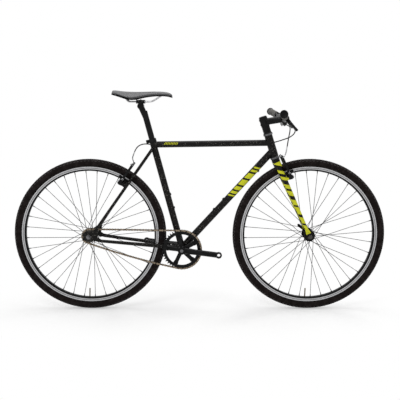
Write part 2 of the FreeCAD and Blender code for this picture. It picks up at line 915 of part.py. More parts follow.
def fork():
    """Steerer, crown, tapered blades, fork ends and front brake posts."""
    low = on_steerer(RACE_SEAT + " - crown_height / 2")
    high = on_steerer(STEM_LOW + " + stem_clamp_height")
    skin = rod("steerer_skin", "steerer_diameter / 2", low, high)
    core = drill("steerer_core", "steerer_diameter / 2 - steerer_wall", low, high)
    node("steerer_tube", cut("steerer_tube", skin, core))

    end_middle = "front_spacing / 2 + fork_end_thickness / 2"
    top = beside(BLADE_TOP, "blade_spread / 2")
    bottom = beside(FRONT + BLADE_UP * size("fork_end_length - stay_overlap"), end_middle)
    thick = ("blade_depth", "blade_width")
    thin = ("blade_end_diameter", "blade_end_diameter")
    outer, inner = hollow("blade", top, bottom, thick, thin)

    place = facing(beside(FRONT, "front_spacing / 2"), RIGHT, BLADE_AHEAD)
    outline = [
        ("-fork_end_width / 2", "-fork_end_drop"),
        ("fork_end_width / 2", "-fork_end_drop"),
        ("fork_end_width / 2", "fork_end_drop / 2"),
        ("blade_end_diameter / 2", "fork_end_length"),
        ("-blade_end_diameter / 2", "fork_end_length"),
        ("-fork_end_width / 2", "fork_end_drop / 2"),
    ]
    flat = plate("fork_end_plate", place, outline, "fork_end_thickness")
    inside = beside(FRONT, "front_spacing / 2")
    outside = beside(FRONT, "front_spacing / 2 + fork_end_thickness")
    hole = drill("fork_end_hole", "front_axle_diameter / 2 + seat_fit", inside, outside)
    slot_place = facing(inside - BLADE_UP * size("fork_end_drop"), RIGHT, BLADE_AHEAD)
    slot = block(
        "fork_end_slot",
        slot_place,
        "front_axle_diameter + seat_fit * 2",
        "fork_end_drop * 2",
        "fork_end_thickness * 4",
    )
    end = cut("fork_end", flat, hole, slot)
    blade = cut("blade_right", outer, inner, end)
    post = brake_post("front_post", FRONT, BLADE_UP, BLADE_AHEAD, outer)
    pieces = []
    for piece in (blade, end, post):
        pieces.append(piece)
        pieces.append(mirrored(piece.Name + "_left", piece))
    node("fork_blades", group("fork_blades", *pieces))

    seat = on_steerer(RACE_SEAT)
    under = on_steerer(RACE_SEAT + " - crown_height")
    boss = rod("crown_boss", "crown_diameter / 2", under, seat)
    race = rod("crown_race", "cup_diameter / 2 - cup_wall", seat, on_steerer(RACE_SEAT + " + race_height"))
    arm_spot = on_steerer(RACE_SEAT + " - crown_height / 2")
    arm = rod("crown_arm", "crown_arm_diameter / 2", arm_spot, beside(arm_spot, "blade_spread / 2"))
    slide = (bottom - top).normalize()
    wall = ("blade_depth + crown_socket_wall * 2", "blade_width + crown_socket_wall * 2")
    socket_top = top - slide * size("crown_height / 2")
    socket = tapered("crown_socket", socket_top, top + slide * size("crown_socket_length"), wall, wall, "0")
    half = cut("crown_half", fused("crown_side", arm, socket), outer)
    whole = fused("crown_body", boss, race, half, mirrored("crown_left", half))
    bore = drill("crown_bore", "steerer_diameter / 2 + seat_fit", low, high)
    node("fork_crown", cut("fork_crown", whole, bore))


fork()


def spacers_and_cap():
    """Headset cover, spacers on the steerer and the top cap."""
    bore = "steerer_diameter / 2 + seat_fit"
    place = FreeCAD.Placement(on_steerer(STACK_TOP), FreeCAD.Rotation(UP, STEER_UP))
    cover = [
        (bore, "0"),
        ("cup_diameter / 2", "0"),
        ("spacer_diameter / 2", "cover_height"),
        (bore, "cover_height"),
    ]
    pieces = [turned("headset_cover", place, cover)]
    for index in range(int(size("spacer_count"))):
        start = STACK_TOP + " + cover_height + spacer_height * %d" % index
        low, high = on_steerer(start), on_steerer(start + " + spacer_height")
        ring = rod("spacer_ring_%d" % index, "spacer_diameter / 2", low, high)
        pieces.append(cut("spacer_%d" % index, ring, drill("spacer_bore_%d" % index, bore, low, high)))
    node("headset_spacers", group("headset_spacers", *pieces))

    top = STEM_LOW + " + stem_clamp_height"
    place = FreeCAD.Placement(on_steerer(top), FreeCAD.Rotation(UP, STEER_UP))
    cap = [
        ("0", "0"),
        ("spacer_diameter / 2", "0"),
        ("spacer_diameter / 2", "cap_height / 2"),
        ("spacer_diameter / 2 - cap_height / 2", "cap_height"),
        ("0", "cap_height"),
    ]
    node("headset_top_cap", turned("headset_top_cap", place, cap))


spacers_and_cap()

STEM_MIDDLE = on_steerer(STEM_LOW + " + stem_clamp_height / 2")
RISE = math.radians(size("stem_rise_angle"))
STEM_AHEAD = V(math.cos(RISE), 0, math.sin(RISE))
BAR_MIDDLE = STEM_MIDDLE + STEM_AHEAD * size("stem_length")


def stem():
    """Stem body, its removable face plate and all its bolts."""
    low, high = on_steerer(STEM_LOW), on_steerer(STEM_LOW + " + stem_clamp_height")
    barrel = rod("stem_barrel", "steerer_diameter / 2 + stem_clamp_wall", low, high)
    arm = rod("stem_arm", "stem_arm_diameter / 2", STEM_MIDDLE, BAR_MIDDLE)
    half = size("stem_bar_width / 2")
    clamp_radius = "bar_clamp_diameter / 2 + stem_bar_wall"
    clamp = rod("stem_clamp", clamp_radius, BAR_MIDDLE + RIGHT * half, BAR_MIDDLE + LEFT * half)
    bore = "bar_clamp_diameter / 2 + seat_fit"
    bar_bore = drill("stem_bar_bore", bore, BAR_MIDDLE + RIGHT * half, BAR_MIDDLE + LEFT * half)
    steerer_bore = drill("stem_steerer_bore", "steerer_diameter / 2 + seat_fit", low, high)
    depth = clamp_radius + " + overrun"
    breadth = "stem_bar_width + overrun * 2"
    over = facing(BAR_MIDDLE + STEM_AHEAD * size("(%s - stem_gap) / 2" % depth), STEM_AHEAD, LEFT)
    front = block("stem_front", over, breadth, "(%s) * 2" % depth, depth)
    whole = fused("stem_whole", barrel, arm, clamp)
    node("stem", cut("stem", whole, steerer_bore, bar_bore, front))

    ahead = facing(BAR_MIDDLE + STEM_AHEAD * size("(%s + stem_gap) / 2" % depth), STEM_AHEAD, LEFT)
    keep = block("face_keep", ahead, breadth, "(%s) * 2" % depth, depth)
    common = doc.addObject("Part::Common", "face_half")
    common.Base = rod("face_round", clamp_radius, BAR_MIDDLE + RIGHT * half, BAR_MIDDLE + LEFT * half)
    common.Tool = keep
    face = cut("face_plate", common, bar_bore)
    pieces = [face]
    rise = V(-STEM_AHEAD.z, 0, STEM_AHEAD.x)
    reach = size("bar_clamp_diameter / 2 + stem_bar_wall / 2")
    for index, (side, height) in enumerate(((-1, -1), (-1, 1), (1, -1), (1, 1))):
        spot = BAR_MIDDLE + LEFT * (side * half / 2) + rise * (height * reach)
        start = spot + STEM_AHEAD * size("stem_bar_wall * 2")
        end = start + STEM_AHEAD * size("stem_bolt_head / 2")
        head = rod("face_bolt_%d" % index, "stem_bolt_head / 2", start, end)
        pieces.append(cut("face_bolt_head_%d" % index, head, face))
    back = V(-STEER_UP.z, 0, STEER_UP.x)
    for index, height in enumerate(("-stem_clamp_height / 4", "stem_clamp_height / 4")):
        spot = STEM_MIDDLE + STEER_UP * size(height)
        spot = spot + back * size("steerer_diameter / 2 + stem_clamp_wall - stem_bolt_diameter / 2")
        side = LEFT * size("stem_bar_width / 4")
        body = rod("stem_bolt_%d" % index, "stem_bolt_head / 2", spot - side, spot + side)
        pieces.append(cut("stem_bolt_ear_%d" % index, body, barrel))
    node("stem_faceplate", group("stem_faceplate", *pieces))


stem()


def bent_wire(points, radii):
    """Wire of straight runs with a tangent arc at every inner point."""
    edges = []
    last = points[0]
    for index in range(1, len(points) - 1):
        spot = points[index]
        back = (points[index - 1] - spot).normalize()
        on = (points[index + 1] - spot).normalize()
        half = back.getAngle(on) / 2
        trim = radii[index - 1] / math.tan(half)
        first, second = spot + back * trim, spot + on * trim
        middle = (back + on).normalize()
        deep = spot + middle * (radii[index - 1] / math.sin(half) - radii[index - 1])
        edges.append(Part.LineSegment(last, first).toShape())
        edges.append(Part.Arc(first, deep, second).toShape())
        last = second
    edges.append(Part.LineSegment(last, points[-1]).toShape())
    return Part.Wire(edges)


def swept(wire, radius):
    """Round bar along a wire."""
    start = wire.Edges[0]
    normal = start.tangentAt(start.FirstParameter)
    ring = Part.Wire(Part.makeCircle(radius, start.valueAt(start.FirstParameter), normal))
    return wire.makePipeShell([ring], True, False)


def bar_direction(side):
    """Direction of the bar's grip part, outward and swept back and up."""
    back = math.radians(size("bar_back_angle"))
    rise = math.radians(size("bar_up_angle"))
    return V(-math.sin(back), side * math.cos(back), math.tan(rise)).normalize()


def bar_point(side, formula):
    """Point on the bar's axis, so far from the middle plane along Y."""
    bend = BAR_MIDDLE + LEFT * (side * size("bar_bend_start"))
    out = bar_direction(side)
    return bend + out * ((size(formula) - size("bar_bend_start")) / abs(out.y))


def handlebar():
    """Hollow flat bar with a thick middle, and a grip on each end."""
    points = [
        bar_point(-1, "bar_half_width"),
        BAR_MIDDLE + RIGHT * size("bar_bend_start"),
        BAR_MIDDLE + LEFT * size("bar_bend_start"),
        bar_point(1, "bar_half_width"),
    ]
    radii = [size("bar_bend_radius")] * 2
    wire = bent_wire(points, radii)
    skin = shaped("bar_skin", swept(wire, size("bar_diameter / 2")))
    core = shaped("bar_core", swept(wire, size("bar_diameter / 2 - bar_wall")))
    place = facing(BAR_MIDDLE, LEFT, AHEAD)
    half, far = "bar_clamp_length / 2", "bar_clamp_length / 2 + bar_taper_length"
    bulge = [
        ("0", "-(%s)" % far),
        ("bar_diameter / 2 - free_gap", "-(%s)" % far),
        ("bar_clamp_diameter / 2", "-(%s)" % half),
        ("bar_clamp_diameter / 2", half),
        ("bar_diameter / 2 - free_gap", far),
        ("0", far),
    ]
    thick = turned("bar_bulge", place, bulge)
    node("handlebar", cut("handlebar", fused("bar_whole", skin, thick), core))

    profile = [
        ("bar_diameter / 2 + seat_fit", "grip_end_thickness"),
        ("bar_diameter / 2 + seat_fit", "grip_length"),
        ("grip_diameter / 2", "grip_length"),
        ("grip_diameter / 2", "grip_end_thickness + grip_flange_width"),
        ("grip_flange_diameter / 2", "grip_end_thickness + grip_flange_width"),
        ("grip_flange_diameter / 2", "0"),
        ("0", "0"),
        ("0", "grip_end_thickness"),
    ]
    out = bar_direction(-1)
    end = bar_point(-1, "bar_half_width") + out * size("grip_end_thickness")
    place = FreeCAD.Placement(end, FreeCAD.Rotation(UP, out * -1))
    node("grips", pair("grips_pair", turned("grip_right", place, profile)))


handlebar()


def lever_frame():
    """Right lever's own axes: origin on the bar, outward, toward the fingers and the pin's way."""
    out = bar_direction(-1)
    droop = math.radians(size("lever_droop_angle"))
    reach = V(math.cos(droop), 0, -math.sin(droop))
    reach = (reach - out * reach.dot(out)).normalize()
    return bar_point(-1, "bar_half_width - lever_inset"), out, reach, out.cross(reach)


LEVER_FOOT, LEVER_OUT, LEVER_REACH, LEVER_PIN = lever_frame()


def lever_spot(out, reach):
    return LEVER_FOOT + LEVER_OUT * size(out) + LEVER_REACH * size(reach)


LEVER_INNER = "lever_pivot_out - lever_hub_width / 2 - free_gap * 4"
ADJUSTER_FACE = LEVER_INNER + " - lever_body_length"
HOUSING_START = lever_spot(ADJUSTER_FACE + " - adjuster_length / 2", "lever_cable_reach")
HOUSING_LEAD = lever_spot(ADJUSTER_FACE + " - adjuster_length - adjuster_lead", "lever_cable_reach")


def brake_levers():
    """Lever brackets clamped to the bar and the two lever blades."""
    half = LEVER_OUT * size("lever_clamp_width / 2")
    bore_radius = "bar_diameter / 2 + seat_fit"
    ring = rod("lever_ring", bore_radius + " + lever_clamp_wall", LEVER_FOOT - half, LEVER_FOOT + half)
    bore = drill("lever_ring_bore", bore_radius, LEVER_FOOT - half * 4, LEVER_FOOT + half * 4)
    deep = "lever_body_end - lever_body_start"
    body_middle = LEVER_INNER + " - lever_body_length / 2"
    body_spot = lever_spot(body_middle, "(lever_body_start + lever_body_end) / 2")
    body_place = facing(body_spot, LEVER_PIN, LEVER_OUT)
    body = block("lever_body", body_place, "lever_body_length", deep, "lever_body_thickness")
    cheek_spot = lever_spot("lever_pivot_out - lever_body_length / 4", "lever_pivot_reach")
    cheeks = block(
        "lever_cheeks",
        facing(cheek_spot, LEVER_PIN, LEVER_OUT),
        "lever_hub_width + lever_body_length / 2",
        "lever_hub_width",
        "lever_body_thickness",
    )
    gap_spot = lever_spot("lever_pivot_out + lever_hub_width - free_gap * 4", "lever_pivot_reach")
    gap = block(
        "lever_gap",
        facing(gap_spot, LEVER_PIN, LEVER_OUT),
        "lever_hub_width * 3",
        "lever_body_end * 3",
        "lever_thickness + free_gap * 2",
    )
    pivot = lever_spot("lever_pivot_out", "lever_pivot_reach")
    pin_half = LEVER_PIN * size("lever_body_thickness / 2")
    hole = drill("lever_pin_hole", "lever_pivot_diameter / 2", pivot - pin_half, pivot + pin_half)
    cable = lever_spot(LEVER_INNER, "lever_cable_reach")
    face = lever_spot(ADJUSTER_FACE, "lever_cable_reach")
    end = lever_spot(ADJUSTER_FACE + " - adjuster_length", "lever_cable_reach")
    adjuster = rod("lever_adjuster", "adjuster_diameter / 2", face, end)
    cable_bore = drill("lever_cable_bore", "wire_diameter / 2 + seat_fit", end, cable)
    mouth = rod("lever_mouth", "housing_diameter / 2 + seat_fit", HOUSING_START, HOUSING_LEAD)
    whole = fused("lever_bracket_whole", ring, body, cheeks, adjuster)
    bracket = cut("lever_bracket", whole, bore, gap, hole, cable_bore, mouth)
    pin = rod("lever_pin", "lever_pivot_diameter / 2", pivot - pin_half, pivot + pin_half)
    pieces = [bracket, pin]
    copies = [mirrored(piece.Name + "_left", piece) for piece in pieces]
    node("brake_lever_brackets", group("brake_lever_brackets", *(pieces + copies)))

    place = facing(LEVER_FOOT - LEVER_PIN * size("lever_thickness / 2"), LEVER_PIN, LEVER_OUT)
    edge = "lever_pivot_out - lever_hub_width / 2"
    outline = [
        (edge, "lever_pivot_reach"),
        ("lever_pivot_out - lever_hub_width / 4", "lever_pivot_reach - lever_hub_width / 2"),
        ("lever_pivot_out + lever_hub_width / 2", "lever_pivot_reach - lever_hub_width / 2"),
        ("lever_knee_out", "lever_knee_reach"),
        ("lever_tip_out", "lever_tip_reach"),
        ("lever_tip_out + lever_blade_depth / 2", "lever_tip_reach + lever_blade_depth / 2"),
        ("lever_tip_out", "lever_tip_reach + lever_blade_depth"),
        ("lever_knee_out", "lever_knee_reach + lever_blade_depth"),
        ("lever_pivot_out + lever_hub_width / 2", "lever_cable_reach + lever_hub_width / 2"),
        (edge, "lever_cable_reach + lever_hub_width / 2"),
    ]
    flat = plate("lever_blade", place, outline, "lever_thickness")
    hole_radius = "lever_pivot_diameter / 2 + running_fit"
    pin_hole = drill("lever_blade_hole", hole_radius, pivot - pin_half, pivot + pin_half)
    blade = cut("right_brake_lever", flat, pin_hole)
    node("right_brake_lever", blade)
    node("left_brake_lever", mirrored("left_brake_lever", blade))


brake_levers()


def arm_cable_spot(foot, up, out):
    """Middle of the cable hole through the right arm's head."""
    spot = foot + up * size("post_distance + arm_length - cable_hole_drop")
    spot = spot + out * size("arm_start + arm_thickness / 2")
    return beside(spot, "post_spacing / 2 + arm_lean")


def brake(name, foot, up, out):
    """Both arms and pads of one rim brake; the left ones are mirror images."""
    root = beside(foot + up * size("post_distance"), "post_spacing / 2")
    start = root + out * size("arm_start")
    place = facing(start, out, RIGHT)
    if place.Rotation.multVec(V(0, 1, 0)).dot(up) < 0:
        place = facing(start + out * size("arm_thickness"), out * -1, RIGHT)
    outline = [
        ("-arm_foot_width / 2", "-arm_foot_width / 2"),
        ("arm_foot_width / 2", "-arm_foot_width / 2"),
        ("arm_waist_width / 2 + arm_lean", "arm_length / 2"),
        ("arm_head_width / 2 + arm_lean", "arm_length"),
        ("-arm_head_width / 2 + arm_lean", "arm_length"),
        ("-arm_waist_width / 2 + arm_lean", "arm_length / 2"),
    ]
    flat = plate(name + "_arm_plate", place, outline, "arm_thickness")
    barrel_start = root + out * size("post_base_length + free_gap")
    barrel_end = root + out * size("post_length - free_gap")
    barrel = rod(name + "_barrel", "arm_foot_width / 2", barrel_start, barrel_end)
    bore = drill(name + "_arm_bore", "post_diameter / 2 + running_fit", barrel_start, barrel_end)

    face = size("rim_width / 2 + pad_gap")
    shoe_spot = foot + up * size("pad_distance") + out * size("arm_start + arm_thickness / 2 - pad_set_back")
    shoe_spot = shoe_spot + RIGHT * (face + size("pad_thickness / 2"))
    shoe = block(name + "_shoe", facing(shoe_spot, RIGHT, out), "pad_length", "pad_height", "pad_thickness")
    stud_line = foot + up * size("pad_distance") + out * size("arm_start + arm_thickness / 2")
    stud_end = size("post_spacing / 2 + arm_foot_width / 2 + pad_stud_diameter")
    stud = rod(
        name + "_stud",
        "pad_stud_diameter / 2",
        stud_line + RIGHT * (face + size("pad_thickness / 2")),
        stud_line + RIGHT * stud_end,
    )
    stud_hole = drill(
        name + "_stud_hole",
        "pad_stud_diameter / 2 + seat_fit",
        stud_line + RIGHT * (face + size("pad_thickness / 2")),
        stud_line + RIGHT * stud_end,
    )
    spot = arm_cable_spot(foot, up, out)
    side = RIGHT * size("arm_head_width")
    hole = drill(name + "_cable_hole", "noodle_diameter / 2 + seat_fit", spot - side, spot + side)
    arm = cut(name + "_arm_right", fused(name + "_arm_whole", flat, barrel), bore, stud_hole, hole)
    pad = fused(name + "_pad_right", shoe, stud)
    node(name + "_arm_right", arm)
    node(name + "_arm_left", mirrored(name + "_arm_left", arm))
    node(name + "_pad_right", pad)
    node(name + "_pad_left", mirrored(name + "_pad_left", pad))


brake("front_brake", FRONT, BLADE_UP, BLADE_AHEAD)
brake("rear_brake", STAY_FOOT, STAY_UP, STAY_BACK)

# Brake cables: each route's free points, chosen by hand, in millimetres
REAR_HOUSING_POINTS = (
    (428, -62, 836),
    (426, -38, 818),
    (410, -15, 801),
    (385, 3, 790),
    (356, 17, 779.5),
    (324, 26, 771.5),
    (292, 25, 767),
)
REAR_LOOP_POINTS = (
    (-172, 18, 757.5),
    (-203, 24, 761.5),
    (-236, 31.5, 768),
    (-265, 38, 766.5),
    (-289.7, 42.3, 752.4),
    (-299.5, 47, 731),
)
REAR_NOODLE_POINTS = (
    (-299.5, 47, 731),
    (-310, 52, 708),
    (-309, 66, 688),
)
FRONT_HOUSING_POINTS = (
    (417, 44, 846),
    (412, 6, 827),
    (403, -22, 803),
    (398.2, -34, 780.5),
    (393.6, -45.7, 760),
)
FRONT_NOODLE_POINTS = (
    (393.6, -45.7, 760),
    (388, -60, 735),
    (380, -67, 719),
)
# Share of the shorter run beside a bend that its arc takes up
ARC_SHARE = 0.45


def across(point):
    """The same point on the other side of the bicycle."""
    return V(point.x, -point.y, point.z)


def cord(name, points, diameter):
    """Round cord of straight runs joined by tangent arcs."""
    radii = []
    for before, spot, after in zip(points, points[1:], points[2:]):
        back, on = before - spot, after - spot
        run = min(back.Length, on.Length)
        radii.append(ARC_SHARE * run * math.tan(back.getAngle(on) / 2))
    print(name, "arc radii", " ".join("%.0f" % radius for radius in radii))
    return shaped(name, swept(bent_wire(points, radii), size(diameter) / 2))


def noodle_and_link(name, points, head):
    """Bent metal guide into one arm's head, and the wire pinned in the other's."""
    way = RIGHT if head.y < 0 else LEFT
    route = [V(*point) for point in points]
    end = head - way * size("noodle_exit")
    route += [head + way * size("noodle_entry"), end]
    guide = cord(name + "_noodle", route, "noodle_diameter")
    half = way * size("arm_head_width / 2")
    near, far = across(head) + half, across(head) - half
    wire = rod(name + "_link_wire", "wire_diameter / 2", end, near)
    pin = rod(name + "_wire_pin", "noodle_diameter / 2", near, far)
    return [guide, fused(name + "_link", wire, pin)]


def cables():
    """Brake cables: housing, bent guide and bare wire of each brake."""
    front_stop, rear_stop = stop_middle("stop_front_reach"), stop_middle("stop_rear_reach")
    lead = TOP_WAY * size("stop_lead")
    route = [HOUSING_START, HOUSING_LEAD]
    route += [V(*point) for point in REAR_HOUSING_POINTS]
    route += [front_stop + lead, front_stop]
    housing = cord("rear_brake_front_housing", route, "housing_diameter")
    node("rear_brake_front_housing", housing)

    wire = rod("top_wire", "wire_diameter / 2", front_stop, rear_stop)
    route = [rear_stop, rear_stop - lead] + [V(*point) for point in REAR_LOOP_POINTS]
    loop = cord("rear_loop", route, "housing_diameter")
    head = across(arm_cable_spot(STAY_FOOT, STAY_UP, STAY_BACK))
    pieces = [wire, loop] + noodle_and_link("rear", REAR_NOODLE_POINTS, head)
    node("rear_brake_cable", group("rear_brake_cable", *pieces))

    route = [across(HOUSING_START), across(HOUSING_LEAD)]
    route += [V(*point) for point in FRONT_HOUSING_POINTS]
    housing = cord("front_housing", route, "housing_diameter")
    head = arm_cable_spot(FRONT, BLADE_UP, BLADE_AHEAD)
    pieces = [housing] + noodle_and_link("front", FRONT_NOODLE_POINTS, head)
    node("front_brake_cable", group("front_brake_cable", *pieces))


cables()

# Wheels
RIM_EDGE = "bead_seat_diameter / 2 + rim_flange_height"
RIM_INNER = "bead_seat_diameter / 2 + rim_flange_height - rim_depth"
VALVE_LEAN = math.radians(size("valve_angle"))
VALVE_WAY = V(-math.sin(VALVE_LEAN), 0, -math.cos(VALVE_LEAN))
# Part of a spoke step by which each flange's spokes stand to either side of the valve
SPOKE_PHASE_SHARE = 0.25


def rim(name, axle):
    """Box-section rim with hooked flanges and a valve hole."""
    place = facing(axle, LEFT, AHEAD)
    half, wall = "rim_width / 2", "rim_wall"
    well = "bead_seat_diameter / 2 - rim_well_depth"
    outer = [
        (RIM_EDGE, half),
        (RIM_EDGE, half + " - rim_wall"),
        (well, half + " - rim_wall"),
        (well, "-(%s) + rim_wall" % half),
        (RIM_EDGE, "-(%s) + rim_wall" % half),
        (RIM_EDGE, "-(%s)" % half),
        (RIM_INNER + " + rim_bevel", "-(%s)" % half),
        (RIM_INNER, "-(%s) + rim_bevel" % half),
        (RIM_INNER, half + " - rim_bevel"),
        (RIM_INNER + " + rim_bevel", half),
    ]
    inner = [
        (well + " - rim_wall", half + " - rim_wall"),
        (well + " - rim_wall", "-(%s) + rim_wall" % half),
        (RIM_INNER + " + rim_bevel + rim_wall / 2", "-(%s) + rim_wall" % half),
        (RIM_INNER + " + rim_wall", "-(%s) + rim_bevel + rim_wall / 2" % half),
        (RIM_INNER + " + rim_wall", half + " - rim_bevel - rim_wall / 2"),
        (RIM_INNER + " + rim_bevel + rim_wall / 2", half + " - rim_wall"),
    ]
    skin = turned(name + "_skin", place, outer)
    chamber = turned(name + "_chamber", place, inner)
    hole = drill(
        name + "_valve_hole",
        "valve_diameter / 2 + seat_fit",
        axle + VALVE_WAY * size(RIM_INNER),
        axle + VALVE_WAY * size(well),
    )
    node(name, cut(name, skin, chamber, hole))


TYRE_BEAD = "rim_width / 2 - rim_wall - seat_fit"
TYRE_SEAT = "bead_seat_diameter / 2"


def tyre(name, axle):
    """Tyre with a crowned tread, sidewalls and two beads in the rim."""
    place = facing(axle, LEFT, AHEAD)
    top, side = "tyre_diameter / 2", "tyre_width / 2"
    bulge = "(tyre_diameter / 2 + %s) / 2" % RIM_EDGE
    shoulder = "tyre_diameter / 2 - tyre_tread"
    half = [
        (top, "tyre_crown_width / 2"),
        (shoulder, "tyre_width / 2 - tyre_tread"),
        (bulge, side),
        (RIM_EDGE, TYRE_BEAD),
        (TYRE_SEAT, TYRE_BEAD),
        (TYRE_SEAT, TYRE_BEAD + " - tyre_bead_width"),
        (RIM_EDGE, TYRE_BEAD + " - tyre_wall"),
        (bulge, side + " - tyre_wall"),
        (top + " - tyre_tread", "tyre_crown_width / 2"),
    ]
    other = [(radius, "-(%s)" % width) for radius, width in reversed(half)]
    node(name, turned(name, place, half + other))


def inner_tube(name, axle):
    """Air tube inside the tyre, and its valve through the rim."""
    place = facing(axle, LEFT, AHEAD)
    low, high = TYRE_SEAT + " + tube_wall_gap", "tyre_diameter / 2 - tyre_tread - tube_wall_gap"
    bulge = "(tyre_diameter / 2 + %s) / 2" % RIM_EDGE
    narrow = TYRE_BEAD + " - tyre_bead_width - tube_wall_gap"
    wide = "tyre_width / 2 - tyre_wall - tube_wall_gap * 2"
    profile = [
        (low, narrow),
        (bulge, wide),
        (high, "tyre_crown_width / 2 - tube_wall_gap"),
        (high, "-tyre_crown_width / 2 + tube_wall_gap"),
        (bulge, "-(%s)" % wide),
        (low, "-(%s)" % narrow),
    ]
    ring = turned(name + "_ring", place, profile)
    stem_end = axle + VALVE_WAY * size(RIM_INNER + " - valve_length")
    stem_foot = axle + VALVE_WAY * size(low + " + tyre_wall")
    valve = rod(name + "_valve", "valve_diameter / 2", stem_end, stem_foot)
    node(name, fused(name, ring, valve))


def spokes(name, axle, flange_half):
    """Spokes laced three-cross, alternately inside and outside each flange, with their nipples."""
    per_side = int(size("spoke_count / 2"))
    step = 2 * math.pi / per_side
    cross = step * size("spoke_crosses")
    hub_radius, rim_radius = size("spoke_circle / 2"), size(RIM_INNER)
    wire, nipple = size("spoke_diameter / 2"), size("nipple_diameter / 2")
    lift = size("flange_thickness / 2 + spoke_diameter / 2 + seat_fit")
    edge = size("flange_diameter / 2 - spoke_circle / 2")
    fall = size(flange_half) * edge * size("spoke_crosses") / rim_radius
    valve_turn = math.atan2(VALVE_WAY.z, VALVE_WAY.x)
    pieces = []
    for side in (-1, 1):
        for index in range(per_side):
            way = 1 if index % 2 else -1
            rim_turn = valve_turn + step * (index - side * SPOKE_PHASE_SHARE)
            height = size(flange_half) + (lift + fall if way > 0 else -lift)
            hub = polar(axle, hub_radius, rim_turn - way * cross) + LEFT * (side * height)
            seat = polar(axle, rim_radius - size("free_gap"), rim_turn)
            toward = (hub - seat).normalize()
            neck = seat + toward * size("nipple_length")
            pieces.append(prism(hub, neck, wire, HEX_SIDES))
            pieces.append(prism(neck, seat, nipple, HEX_SIDES))
    node(name, shaped(name, Part.makeCompound(pieces)))


def hub(name, axle, flange_half, right_end, left_end, bore):
    """Hub shell with two spoke flanges, and a bearing in each end."""
    place = facing(axle, LEFT, AHEAD)
    far, near = "%s + flange_thickness / 2" % flange_half, "%s - flange_thickness / 2" % flange_half
    nose, barrel, flange = "hub_nose_diameter / 2", "barrel_diameter / 2", "flange_diameter / 2"
    neck = "spoke_circle / 2 - spoke_diameter * 2"
    race = "bearing_diameter / 2"
    profile = [
        (race, "-(%s)" % right_end),
        (nose, "-(%s)" % right_end),
        (nose, "-(%s)" % far),
        (flange, "-(%s)" % far),
        (flange, "-(%s)" % near),
        (neck, "-(%s)" % near),
        (barrel, "-(%s) + flange_thickness" % near),
        (barrel, "%s - flange_thickness" % near),
        (neck, near),
        (flange, near),
        (flange, far),
        (nose, far),
        (nose, left_end),
        (race, left_end),
    ]
    pieces = [turned(name + "_shell", place, profile)]
    for label, way, end in (("right", RIGHT, right_end), ("left", LEFT, left_end)):
        outer = axle + way * size(end)
        inner = axle + way * size("%s - bearing_width" % end)
        ring = rod("%s_%s_ring" % (name, label), "bearing_diameter / 2 - seat_fit", inner, outer)
        hole = drill("%s_%s_hole" % (name, label), bore + " + running_fit", inner, outer)
        pieces.append(cut("%s_%s_bearing" % (name, label), ring, hole))
    node(name, group(name, *pieces))


for wheel, axle_spot in (("front", FRONT), ("rear", REAR)):
    rim(wheel + "_rim", axle_spot)
    tyre(wheel + "_tyre", axle_spot)
    inner_tube(wheel + "_inner_tube", axle_spot)
    spokes(wheel + "_spokes", axle_spot, wheel + "_flange_half")
COG_FACE = "chain_line - tooth_thickness / 2"
hub(
    "front_hub",
    FRONT,
    "front_flange_half",
    "front_hub_half",
    "front_hub_half",
    "front_axle_diameter / 2",
)
hub("rear_hub", REAR, "rear_flange_half", COG_FACE, "rear_hub_left", "rear_axle_diameter / 2")


def front_axle():
    """Hollow axle with cones, the skewer through it, its nut and the quick release cap."""
    half = size("front_spacing / 2 + fork_end_thickness - free_gap")
    skin = rod("front_axle_skin", "front_axle_diameter / 2", FRONT + RIGHT * half, FRONT + LEFT * half)
    core = drill("front_axle_core", "front_axle_bore / 2", FRONT + RIGHT * half, FRONT + LEFT * half)
    pieces = [cut("front_axle_tube", skin, core)]
    for name, way in (("right", RIGHT), ("left", LEFT)):
        start = FRONT + way * size("front_hub_half + cone_gap")
        end = FRONT + way * size("front_spacing / 2")
        cone = rod("front_%s_cone" % name, "cone_diameter / 2", start, end)
        hole = drill("front_%s_cone_hole" % name, "front_axle_diameter / 2 + seat_fit", start, end)
        pieces.append(cut("front_%s_cone_ring" % name, cone, hole))
    face = "front_spacing / 2 + fork_end_thickness"
    nut_face, nut_end = FRONT + RIGHT * size(face), FRONT + RIGHT * size(face + " + skewer_nut_length")
    nut = rod("skewer_nut", "skewer_nut_diameter / 2", nut_face, nut_end)
    cap_face, cap_end = FRONT + LEFT * size(face), FRONT + LEFT * size(face + " + lever_cap_length")
    cap = rod("lever_cap", "lever_cap_diameter / 2", cap_face, cap_end)
    skewer = rod("skewer_rod", "skewer_diameter / 2", nut_face, cap_face)
    pieces.append(fused("skewer", nut, cap, skewer))
    node("front_axle", group("front_axle", *pieces))


front_axle()


def quick_release():
    """Cam lever of the front wheel, lying flat beside the left blade."""
    turn = math.radians(size("quick_lever_angle"))
    way = V(math.cos(turn), 0, math.sin(turn))
    pin = V(-way.z, 0, way.x)
    height = "front_spacing / 2 + fork_end_thickness + lever_cap_length + free_gap + quick_hub_diameter / 2"
    centre = FRONT + LEFT * size(height)
    half = pin * size("quick_lever_width / 2")
    barrel = rod("quick_barrel", "quick_hub_diameter / 2", centre - half, centre + half)
    place = facing(centre - LEFT * size("quick_lever_thickness / 2"), LEFT, way)
    outline = [
        ("0", "-quick_lever_width / 3"),
        ("quick_lever_length - quick_lever_width / 2", "-quick_lever_width / 2"),
        ("quick_lever_length", "0"),
        ("quick_lever_length - quick_lever_width / 2", "quick_lever_width / 2"),
        ("0", "quick_lever_width / 3"),
    ]
    blade = plate("quick_blade", place, outline, "quick_lever_thickness")
    node("quick_release_lever", fused("quick_release_lever", barrel, blade))


quick_release()

